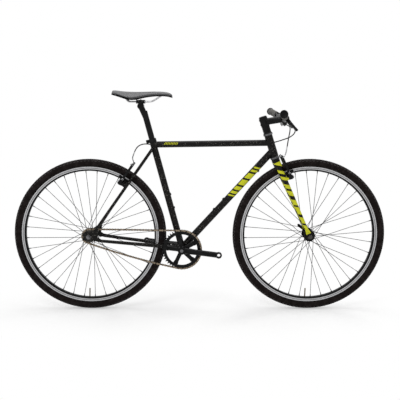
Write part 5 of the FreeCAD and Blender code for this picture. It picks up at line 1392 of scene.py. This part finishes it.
@dataclass
class Saddle:
    """A slim saddle cover: a crowned pad with wings that drop behind and a narrow nose ahead."""

    tail: float = -0.392
    length: float = 0.27
    half_width: float = 0.071
    top: float = 1.007
    crown: float = 0.014
    pad: float = 0.009
    roundness: float = 2.1
    end_round: float = 0.012
    end_swell: float = 0.25
    end_width: float = 0.86
    rim: tuple[Pair, ...] = ((1.0, 0.4), (0.985, 0.8))
    under_width: float = 0.95
    under_follow: float = 0.98
    dark_below: float = -0.25
    stations: int = 44
    top_steps: int = 12
    under_steps: int = 6
    # Places along the saddle, with width, fall of the top and drop of the edge
    shares: tuple[tuple[float, float, float, float], ...] = (
        (0.0, 0.55, -0.35, 0.6),
        (0.08, 0.93, -0.2, 0.85),
        (0.2, 1.0, 0.05, 1.35),
        (0.32, 0.88, 0.18, 1.75),
        (0.44, 0.6, 0.2, 1.45),
        (0.56, 0.42, 0.16, 1.0),
        (0.72, 0.31, 0.1, 0.7),
        (0.9, 0.26, 0.3, 0.55),
        (1.0, 0.16, 0.9, 0.4),
    )

    def share(self, along: float) -> tuple[float, float, float]:
        """Width, fall and edge drop at a place along the saddle.

        Args:
            along: Share of the length from the tail.

        Returns:
            The three shares, on smooth lines through the listed ones.
        """
        rows = self.shares
        index = max(place for place, row in enumerate(rows[:-1]) if row[0] <= along)
        first, second = rows[index], rows[index + 1]
        span = second[0] - first[0]
        part = (along - first[0]) / span
        square, cube = part * part, part * part * part
        values = []
        for column in (1, 2, 3):
            slopes = []
            for spot in (index, index + 1):
                before, after = rows[max(spot - 1, 0)], rows[min(spot + 1, len(rows) - 1)]
                slopes.append((after[column] - before[column]) / (after[0] - before[0]))
            value = (2 * cube - 3 * square + 1) * first[column] + (3 * square - 2 * cube) * second[column]
            value += span * ((cube - 2 * square + part) * slopes[0] + (cube - square) * slopes[1])
            values.append(value)
        return min(values[0], 1.0), values[1], values[2]

    def ring(self, along: float, swell: float) -> Ring:
        """Closed section of the pad.

        Args:
            along: Share of the length from the tail.
            swell: Size of the section, less than one near the rounded ends.

        Returns:
            Its points, over the crown and back below.
        """
        width, fall, edge_drop = self.share(along)
        half = self.half_width * width * (self.end_width + (1 - self.end_width) * swell)
        top = self.top - self.crown * fall - (1 - swell) * self.pad / 2
        drop = self.crown * edge_drop
        depth = self.pad * swell
        edge = top - drop
        section = []
        for step in range(-self.top_steps, self.top_steps + 1):
            side = math.sin(step / self.top_steps * math.pi / 2)
            section.append((side, top - drop * abs(side) ** self.roundness))
        rim = [(side, edge - depth * share) for side, share in self.rim]
        section += rim
        for step in range(self.under_steps, -self.under_steps - 1, -1):
            side = step / self.under_steps * self.under_width
            hollow = drop * (1 - abs(side) ** self.roundness) * self.under_follow
            section.append((side, edge - depth + hollow))
        section += [(-side, height) for side, height in reversed(rim)]
        x = self.tail + along * self.length
        return [Vector((x, half * side, height)) for side, height in section]

    def build(self) -> None:
        """Make the padded cover."""
        rings = []
        for step in range(self.stations + 1):
            along = step / self.stations
            near = min(along, 1 - along) * self.length
            rounding = math.sqrt(max(0.0, 1 - (1 - min(near / self.end_round, 1.0)) ** 2))
            swell = rounding * (1 - self.end_swell) + self.end_swell
            rings.append(self.ring(along, swell))
        tail, nose = ([sum(ring, Vector((0.0, 0.0, 0.0))) / len(ring)] for ring in (rings[0], rings[-1]))
        mesh = skin("saddle_pad", [tail, *rings, nose], angle=70.0)
        piece = placed("saddle_pad", mesh, Material.SADDLE, "seat", "saddle_skin")
        mesh.materials.append(Material.SHELL.get())
        for face in mesh.polygons:
            face.material_index = int(face.normal.z < self.dark_below)
        smooth = piece.modifiers.new("smooth", "SUBSURF")
        smooth.levels = smooth.render_levels = 1
        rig.replaces(piece, "saddle_cover")
        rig.padded(piece, fill=0.9)


@dataclass
class Grips:
    """Two rubber grips with close ribs, grey with a painted sheen in their colour, and a dark bead at the bar's end.
    """

    bar_end: Vector = at(349.0, -288.0, 910.9)
    out: Vector = Vector((-0.1469, -0.9827, 0.1132))
    length: float = 0.128
    end_thickness: float = 0.003
    radius: float = 0.0155
    groove: float = 0.0016
    crest_fall: float = 0.0003
    chamfer: float = 0.001
    bore: float = 0.0111
    steps: int = 40
    ribs: int = 22
    rib_steps: int = 32
    rib_places: tuple[float, ...] = (0.0, 0.18, 0.35, 0.55, 0.72, 0.9)
    rib_start: float = 0.009
    plain_length: float = 0.022
    bead_radius: float = 0.0175
    bead_length: float = 0.0068
    # Places along the bead, with a share of its radius and what is taken off
    bead: tuple[tuple[float, float, float], ...] = (
        (0.0012, 0.0, 0.0),
        (0.0012, 0.6, 0.0),
        (0.0, 0.72, 0.0),
        (0.0, 1.0, 0.0025),
        (0.0008, 1.0, 0.0007),
        (0.0025, 1.0, 0.0),
        (0.005, 1.0, 0.0),
    )

    def both(self, name: str, mesh: bpy.types.Mesh, material: Material) -> bpy.types.Object:
        """Put the right end's shape on both ends of the bar."""
        return placed(name, joined(name, [mirrored(mesh), mesh]), material, "steering", "grip_rubber")

    def build(self) -> None:
        """Make the beads, the sleeves and their ribs."""
        way = -self.out.normalized()
        start = self.bar_end - way * self.end_thickness
        rise, low = self.radius, self.radius - self.groove
        bead = [(along, self.bead_radius * share - less) for along, share, less in self.bead]
        bead += [(self.bead_length, low), (self.bead_length, 0.0)]
        self.both("grip_beads", lathe("grip_bead", bead, self.steps, start, way), Material.PLUG)
        sleeve = [(self.bead_length, self.bore), (self.bead_length, low), (self.length - self.chamfer, low)]
        sleeve += [(self.length, low - self.chamfer), (self.length, self.bore)]
        pitch = (self.length - self.plain_length) / self.ribs
        crest = rise - self.crest_fall
        heights = (low, crest, rise, rise, crest, low)
        rib = [(pitch * place, height) for place, height in zip(self.rib_places, heights)]
        row = Repeat(self.ribs, offset=way * pitch)
        ridge = lathe("grip_rib", rib, self.rib_steps, Vector(), way)
        ridges = row.run(ridge, Material.GRIP, start + way * self.rib_start)
        ribbed = joined("grip", [lathe("grip_sleeve", sleeve, self.steps, start, way, closed=True), ridges])
        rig.replaces(self.both("ribbed_grips", ribbed, Material.GRIP), "grips")


def route(spots: Iterable[Triple]) -> list[Vector]:
    """Points of a route given in millimetres."""
    return [at(*spot) for spot in spots]


@dataclass
class Cable:
    """A round cable along a smooth route through given points."""

    name: str
    points: list[Vector]
    radius: float
    material: Material
    slot: str
    tip_radius: float = 0.0
    tip_length: float = 0.0
    smooth_steps: int = 10
    sides: int = 12

    def curve(self, bevel: float) -> bpy.types.Object:
        """The route as a smooth curve.

        Args:
            bevel: Radius of its round section, or nought for the line alone.

        Returns:
            The curve in the scene.
        """
        data = bpy.data.curves.new(self.name, "CURVE")
        data.dimensions = "3D"
        data.resolution_u = self.smooth_steps
        data.bevel_depth = bevel
        data.bevel_resolution = 3
        data.use_fill_caps = True
        spline = data.splines.new("NURBS")
        spline.points.add(len(self.points) - 1)
        for point, place in zip(spline.points, self.points):
            point.co = (*place, 1.0)
        spline.order_u = 3
        spline.use_endpoint_u = True
        data.materials.append(self.material.get())
        return linked(bpy.data.objects.new(self.name, data))

    def line(self) -> list[Vector]:
        """Points along the smooth route.

        Returns:
            The points, in order.
        """
        curve = self.curve(0.0)
        mesh = plain(curve)
        points = [vertex.co.copy() for vertex in mesh.vertices]
        data = curve.data
        bpy.data.objects.remove(curve)
        bpy.data.curves.remove(data)
        bpy.data.meshes.remove(mesh)
        return points

    def length(self) -> float:
        """Length of the smooth route."""
        points = self.line()
        return sum((after - before).length for before, after in zip(points, points[1:]))

    def tube(self) -> bpy.types.Mesh:
        """The cable as a mesh along its smooth route.

        Returns:
            A closed tube.
        """
        points = self.line()
        ways = [after - before for before, after in zip(points[:1] + points, points[1:] + points[-1:])]
        side = ways[0].normalized().orthogonal().normalized()
        rings = []
        for point, way in zip(points, ways):
            way.normalize()
            side = (side - way * side.dot(way)).normalized()
            radius = self.tip_radius if (point - points[-1]).length < self.tip_length else self.radius
            rings.append(circle(point, side, way.cross(side), radius, self.sides))
        return skin(self.name, [points[:1], *rings, points[-1:]])

    def lay(self, body: str) -> bpy.types.Object:
        """Lay the cable as a declared cord that goes back into the bicycle.

        Args:
            body: The body it moves with.

        Returns:
            The piece.
        """
        length = self.length()
        piece = self.curve(self.radius)
        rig.ride(piece, body)
        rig.slot(piece, self.slot)
        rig.cord(piece, self.points[0], length, self.radius * 2, "object", "stiff", "loose")
        LOG.info("%s: %.3f m on %s", self.name, length, body)
        return piece

    def stretch(self, foot: str, head: str, bend: tuple[Vector, Vector]) -> bpy.types.Object:
        """Lay the cable as a declared cord that bends between two bodies.

        Args:
            foot: The body at the bend's start.
            head: The body at the bend's end.
            bend: Where the bend starts and ends.

        Returns:
            The piece.
        """
        length = self.length()
        mesh = self.tube()
        mesh.materials.append(self.material.get())
        piece = linked(bpy.data.objects.new(self.name, mesh))
        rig.blend(piece, foot, head, start=bend[0], end=bend[1])
        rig.slot(piece, self.slot)
        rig.cord(piece, self.points[0], length, self.radius * 2, "object", "stiff", "loose", path=self.line())
        LOG.info("%s: %.3f m between %s and %s", self.name, length, foot, head)
        return piece

    def fix(self, body: str) -> bpy.types.Object:
        """Set a stiff wire or guide in place on a body."""
        return placed(self.name, self.tube(), self.material, body, self.slot)


@dataclass
class BrakeCables:
    """Housing, bent guides and bare wires of the two brakes, with their routes in millimetres."""

    lever_end: Vector = at(404.84, -124.13, 854.66)
    lever_lead: Vector = at(410.28, -87.77, 850.47)
    top_way: Vector = Vector((0.99989, 0.0, 0.0149))
    front_stop: Vector = at(230.97, 15.15, 763.04)
    rear_stop: Vector = at(-118.99, 15.15, 757.83)
    stop_lead: float = 0.024
    rear_hole: Vector = at(-303.07, 43.0, 676.76)
    front_hole: Vector = at(374.43, -43.0, 711.78)
    steering_bend: tuple[Vector, Vector] = (at(262, 20, 765), at(400, -5, 800))
    rear_route: tuple[Triple, ...] = (
        (428, -62, 836),
        (426, -38, 818),
        (410, -15, 801),
        (385, 3, 790),
        (356, 17, 779.5),
        (324, 26, 771.5),
        (292, 25, 767),
    )
    loop_route: tuple[Triple, ...] = (
        (-172, 18, 757.5),
        (-203, 24, 761.5),
        (-236, 31.5, 768),
        (-265, 38, 766.5),
        (-289.7, 42.3, 752.4),
    )
    rear_bend: tuple[Triple, ...] = ((-299.5, 47, 731), (-310, 52, 708), (-311, 65, 692))
    front_route: tuple[Triple, ...] = ((417, 44, 846), (412, 6, 827), (403, -22, 803), (398.2, -34, 780.5))
    front_bend: tuple[Triple, ...] = ((393.6, -45.7, 760), (388, -60, 735), (382, -66.5, 723))
    housing_radius: float = 0.0025
    guide_radius: float = 0.0028
    wire_radius: float = 0.0008
    tip_radius: float = 0.0021
    tip_length: float = 0.018
    hole_reaches: tuple[float, ...] = (0.025, 0.007, -0.01)
    wire_start: float = 0.01
    wire_past: float = 0.012

    def housing(self, name: str, points: list[Vector]) -> Cable:
        """A length of plastic-covered housing."""
        return Cable(name, points, self.housing_radius, Material.HOUSING, "housing_plastic")

    def metal(self, name: str, points: list[Vector], radius: float) -> Cable:
        """A bent metal guide or a bare wire."""
        return Cable(name, points, radius, Material.STEEL, "steel")

    def guide(self, name: str, bend: Iterable[Triple], hole: Vector, out: Vector) -> Cable:
        """A bent metal guide whose thin tip goes straight through the hole in an arm.

        Args:
            name: The guide's name.
            bend: Its route from the housing.
            hole: Middle of the hole.
            out: From the hole to the guide's bend.

        Returns:
            The guide.
        """
        points = route(bend) + [hole + out * reach for reach in self.hole_reaches]
        guide = self.metal(name, points, self.guide_radius)
        return replace(guide, tip_radius=self.tip_radius, tip_length=self.tip_length)

    def link(self, name: str, hole: Vector, out: Vector) -> Cable:
        """The bare wire from a guide's tip to the other arm."""
        ends = [hole - out * self.wire_start, hole.reflect(LEFT) - out * self.wire_past]
        return self.metal(name, ends, self.wire_radius)

    def rear(self) -> None:
        """Rear brake: housing to the top tube, loop, bare wire, guide and link wire."""
        lead = self.top_way * self.stop_lead
        points = [self.lever_end, self.lever_lead, *route(self.rear_route), self.front_stop + lead, self.front_stop]
        front = self.housing("rear_brake_housing", points).stretch("frame", "steering", self.steering_bend)
        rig.replaces(front, "rear_brake_front_housing")
        points = [self.rear_stop, self.rear_stop - lead, *route(self.loop_route + self.rear_bend[:1])]
        loop = self.housing("rear_brake_loop", points).lay("frame")
        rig.replaces(loop, "rear_brake_cable")
        self.metal("rear_top_wire", [self.front_stop, self.rear_stop], self.wire_radius).fix("frame")
        self.guide("rear_bent_guide", self.rear_bend, self.rear_hole, LEFT).fix("frame")
        self.link("rear_link_wire", self.rear_hole, LEFT).fix("frame")

    def front(self) -> None:
        """Front brake: housing, guide and link wire."""
        lever = [self.lever_end.reflect(LEFT), self.lever_lead.reflect(LEFT)]
        points = lever + route(self.front_route + self.front_bend[:1])
        cover = self.housing("front_brake_housing", points).lay("steering")
        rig.replaces(cover, "front_brake_cable")
        self.guide("front_bent_guide", self.front_bend, self.front_hole, -LEFT).fix("steering")
        self.link("front_link_wire", self.front_hole, -LEFT).fix("steering")


@dataclass(frozen=True)
class Rounded:
    """A forged piece: a solid with its sharp edges eased, which takes the solid's place."""

    node: str
    body: str
    material: Material = Material.BLACK_ALLOY
    slot: str = "black_alloy"
    width: float = 0.0009
    sharp: float = 32.0
    flat: float = 1.0
    merge: float = 1e-5

    def build(self, solid: bpy.types.Object) -> None:
        """Make the piece.

        Args:
            solid: The solid with its plain edges.
        """
        bm = bmesh.new()
        bm.from_mesh(solid.data)
        bm.transform(solid.matrix_world)
        bmesh.ops.remove_doubles(bm, verts=bm.verts, dist=self.merge)
        bmesh.ops.dissolve_limit(bm, angle_limit=math.radians(self.flat), verts=bm.verts, edges=bm.edges)
        corner = math.radians(self.sharp)
        edges = [edge for edge in bm.edges if edge.is_manifold and edge.calc_face_angle() > corner]
        bmesh.ops.bevel(
            bm,
            geom=edges,
            offset=self.width,
            offset_type="OFFSET",
            segments=2,
            profile=0.5,
            affect="EDGES",
            clamp_overlap=True,
        )
        name = self.node + "_eased"
        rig.replaces(placed(name, shape(bm, name, 30.0), self.material, self.body, self.slot), self.node)


@dataclass
class BrakeBolts:
    """Pivot bolts of the brake arms, the nuts that hold their pads and the bolt that holds the wire."""

    name: str
    foot: Vector
    up: Vector
    out: Vector
    carrier: str
    anchor: Vector
    anchor_side: str
    post_distance: float = 0.284
    post_half: float = 0.04
    post_length: float = 0.042
    pad_distance: float = 0.306
    stud_out: float = 0.032
    arm_face: float = 0.0505
    arm_half: float = 0.005
    seat: float = -0.0005
    # Shares of a head's height and radius, from its side to its sunk middle
    profile: tuple[Pair, ...] = ((0.75, 1.0), (1.0, 0.85), (1.0, 0.5), (0.45, 0.46), (0.45, 0.0))
    # Radius, height and sides
    wire_bolt: tuple[float, float, int] = (0.0048, 0.005, 6)
    pivot_bolt: tuple[float, float, int] = (0.0062, 0.0035, 24)
    pad_nut: tuple[float, float, int] = (0.0052, 0.0045, 6)

    def head(self, spot: Vector, way: Vector, radius: float, height: float, steps: int) -> bpy.types.Mesh:
        """Bolt head or nut with a bevelled edge and a sunk middle.

        Args:
            spot: Middle of its seat.
            way: Where it points.
            radius: Its radius.
            height: Its height.
            steps: Its sides.

        Returns:
            The head.
        """
        profile = [(self.seat, 0.0), (self.seat, radius)]
        profile += [(height * tall, radius * wide) for tall, wide in self.profile]
        return lathe("bolt_head", profile, steps, spot, way)

    def build(self) -> None:
        """Make the bolts on their posts and the nuts on their arms."""
        grip = self.head(self.anchor + self.out * self.arm_half, self.out, *self.wire_bolt)
        placed(f"{self.name}_wire_bolt", grip, Material.STEEL, f"{self.name}_{self.anchor_side}_arm", "steel")
        bolts = []
        for side, label in zip((-LEFT, LEFT), SIDES):
            post = self.foot + self.up * self.post_distance + side * self.post_half
            bolts.append(self.head(post + self.out * self.post_length, self.out, *self.pivot_bolt))
            stud = self.foot + self.up * self.pad_distance + self.out * self.stud_out + side * self.arm_face
            nut = self.head(stud, side, *self.pad_nut)
            placed(f"{self.name}_pad_nut_{label}", nut, Material.STEEL, f"{self.name}_{label}_arm", "steel")
        mesh = joined(self.name + "_pivot_bolts", bolts)
        placed(self.name + "_pivot_bolts", mesh, Material.STEEL, self.carrier, "steel")


@dataclass
class Studio:
    """Pale floor, soft lamps and a camera at the photograph's angle."""

    camera_place: Vector = Vector((0.0026, -3.212, 0.9806))
    camera_tilt: float = 81.7
    lens: float = 63.48
    sensor: float = 36.0
    floor_half: float = 30.0
    floor_drop: float = 0.0006
    floor_clouds: float = 3.0
    floor_roughness: float = 0.85
    pale: Colour = (0.9, 0.9, 0.9)
    dull: Colour = (0.87, 0.87, 0.87)
    dull_share: float = 0.2
    fade_shape: Triple = (0.8, 2.2, 1.0)
    fade_reach: Pair = (0.35, 1.1)
    near_glow: float = 0.4
    unseen_light: float = 0.5
    aim: Vector = Vector((0.0, 0.0, 0.5))
    # Name, place, side and power in watts
    lamps: tuple[tuple[str, Vector, float, float], ...] = (
        ("key_lamp", Vector((-1.2, -2.6, 3.4)), 1.2, 42.0),
        ("top_lamp", Vector((0.3, 0.3, 3.6)), 2.2, 60.0),
        ("back_lamp", Vector((1.6, 2.6, 2.2)), 1.4, 30.0),
    )

    def floor(self) -> None:
        """Pale floor that fades into the white background."""
        bm = bmesh.new()
        bmesh.ops.create_grid(bm, x_segments=2, y_segments=2, size=self.floor_half)
        mesh = bpy.data.meshes.new("studio_floor")
        bm.to_mesh(mesh)
        bm.free()
        recipe = Recipe("studio_floor")
        share = recipe.noise(self.floor_clouds) * self.dull_share
        recipe.dress(Base_Color=recipe.blend(share, self.pale, self.dull), Roughness=self.floor_roughness)
        self.whiten(recipe)
        mesh.materials.append(recipe.material)
        floor = linked(bpy.data.objects.new("studio_floor", mesh))
        floor.location.z = -self.floor_drop
        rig.stage(floor)

    @staticmethod
    def shown(seen: Signal) -> Signal:
        """One on rays from the camera, and on those that come by a mirror or glass."""
        bounced = seen.math("MAXIMUM", seen, seen.out("Is Glossy Ray"))
        return bounced.math("MAXIMUM", bounced, seen.out("Is Transmission Ray"))

    def whiten(self, recipe: Recipe) -> None:
        """Fade the floor to white away from the bicycle, as seen or mirrored.

        Args:
            recipe: The floor's material.
        """
        shown = self.shown(recipe.add("LightPath", output="Is Camera Ray"))
        place = recipe.add("Mapping", Vector=recipe.place, Scale=self.fade_shape)
        far = recipe.add("VectorMath", {"operation": "LENGTH"}, "Value", Vector=place)
        glow = recipe.add("Emission", Color=(1.0, 1.0, 1.0), Strength=1.0)
        surface = Signal(recipe.tree, recipe.shader.outputs[0])
        share = (recipe.fade(far, *self.fade_reach) * (1 - self.near_glow) + self.near_glow) * shown
        mixed = recipe.add("MixShader", Fac=share, Shader=surface, Shader_001=glow)
        end = next(node for node in recipe.tree.nodes if node.type == "OUTPUT_MATERIAL")
        recipe.plug(end, Surface=mixed)

    def world(self) -> None:
        """White surroundings for the eye and for reflections, with a plain level of light."""
        world = bpy.data.worlds.new("studio_world")
        world.use_nodes = True
        bpy.context.scene.world = world
        tree = world.node_tree
        ground = next(node for node in tree.nodes if node.type == "BACKGROUND")
        path = tree.nodes.new("ShaderNodeLightPath")
        shown = self.shown(Signal(tree, path.outputs["Is Camera Ray"]))
        ground.inputs["Color"].default_value = (1.0, 1.0, 1.0, 1.0)
        level = shown * (1 - self.unseen_light) + self.unseen_light
        tree.links.new(level.socket, ground.inputs["Strength"])

    def lamp(self, name: str, place: Vector, size: float, power: float) -> None:
        """One soft square lamp.

        Args:
            name: Its name.
            place: Where it hangs.
            size: Its side.
            power: Its power in watts.
        """
        data = bpy.data.lights.new(name, "AREA")
        data.shape = "SQUARE"
        data.size = size
        data.energy = power
        lamp = linked(bpy.data.objects.new(name, data))
        lamp.location = place
        lamp.rotation_euler = (self.aim - place).to_track_quat("-Z", "Y").to_euler()

    def build(self) -> None:
        """Set up floor, world, lamps, view and camera."""
        self.floor()
        self.world()
        for lamp in self.lamps:
            self.lamp(*lamp)
        data = bpy.data.cameras.new("photo_camera")
        data.lens = self.lens
        data.sensor_width = self.sensor
        camera = linked(bpy.data.objects.new("photo_camera", data))
        camera.location = self.camera_place
        camera.rotation_euler = (math.radians(self.camera_tilt), 0.0, 0.0)
        bpy.context.scene.camera = camera
        bpy.context.scene.view_settings.view_transform = "Standard"


EASED = (
    Rounded("brake_lever_brackets", "steering"),
    *(Rounded(f"{side}_brake_lever", f"{side}_lever") for side in SIDES),
    *(Rounded(f"{end}_brake_arm_{side}", f"{end}_{side}_arm") for end in ("front", "rear") for side in SIDES),
    Rounded("quick_release_lever", "quick_release"),
    *(Rounded(f"{side}_crank", "crankset", Material.GLOSS_ALLOY) for side in SIDES),
    *(Rounded(node, "steering", Material.GLOSS_ALLOY) for node in ("stem", "stem_faceplate")),
    Rounded("saddle_clamp", "seat"),
    Rounded("seat_collar", "frame"),
    Rounded("track_ends", "frame", Material.PAINT, "frame_paint"),
)


def dress(nodes: dict[str, bpy.types.Object]) -> None:
    """Give every solid that no piece replaces its finish.

    Args:
        nodes: The solids by name.
    """
    for material, names in NODE_FINISHES.items():
        for name in names.split():
            mesh = nodes[name].data
            mesh.materials.clear()
            mesh.materials.append(material.get())


def main() -> None:
    """Build the scene in order and keep the two boxes for comparison."""
    logging.basicConfig(level=logging.INFO, format="%(name)s %(message)s")
    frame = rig.load()
    solid_box = [list(corner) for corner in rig.bounds()]
    Studio().build()
    dress(frame["nodes"])
    cables = BrakeCables()
    cables.rear()
    cables.front()
    Tyre("front_tyre", FRONT_AXLE).build("front_wheel")
    Tyre("rear_tyre", REAR_AXLE).build("rear_wheel")
    Spokes("front_spokes", FRONT_AXLE, flange_half=0.035).build("front_wheel")
    Spokes("rear_spokes", REAR_AXLE, flange_half=0.03).build("rear_wheel")
    Chain().build(frame["nodes"]["chain"])
    Saddle().build()
    Grips().build()
    front_anchor = cables.front_hole.reflect(LEFT)
    BrakeBolts("front", FRONT_AXLE, BLADE_WAY, BLADE_ACROSS, "steering", front_anchor, "left").build()
    rear_anchor = cables.rear_hole.reflect(LEFT)
    BrakeBolts("rear", STAY_FOOT, STAY_WAY, STAY_ACROSS, "frame", rear_anchor, "right").build()
    for piece in EASED:
        piece.build(frame["nodes"][piece.node])
    bpy.context.view_layer.update()
    seen_box = [list(corner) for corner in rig.bounds()]
    with open("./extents.json", "w", encoding="utf-8") as file:
        json.dump({"solids": solid_box, "scene": seen_box}, file)


if __name__ == "__main__":
    main()
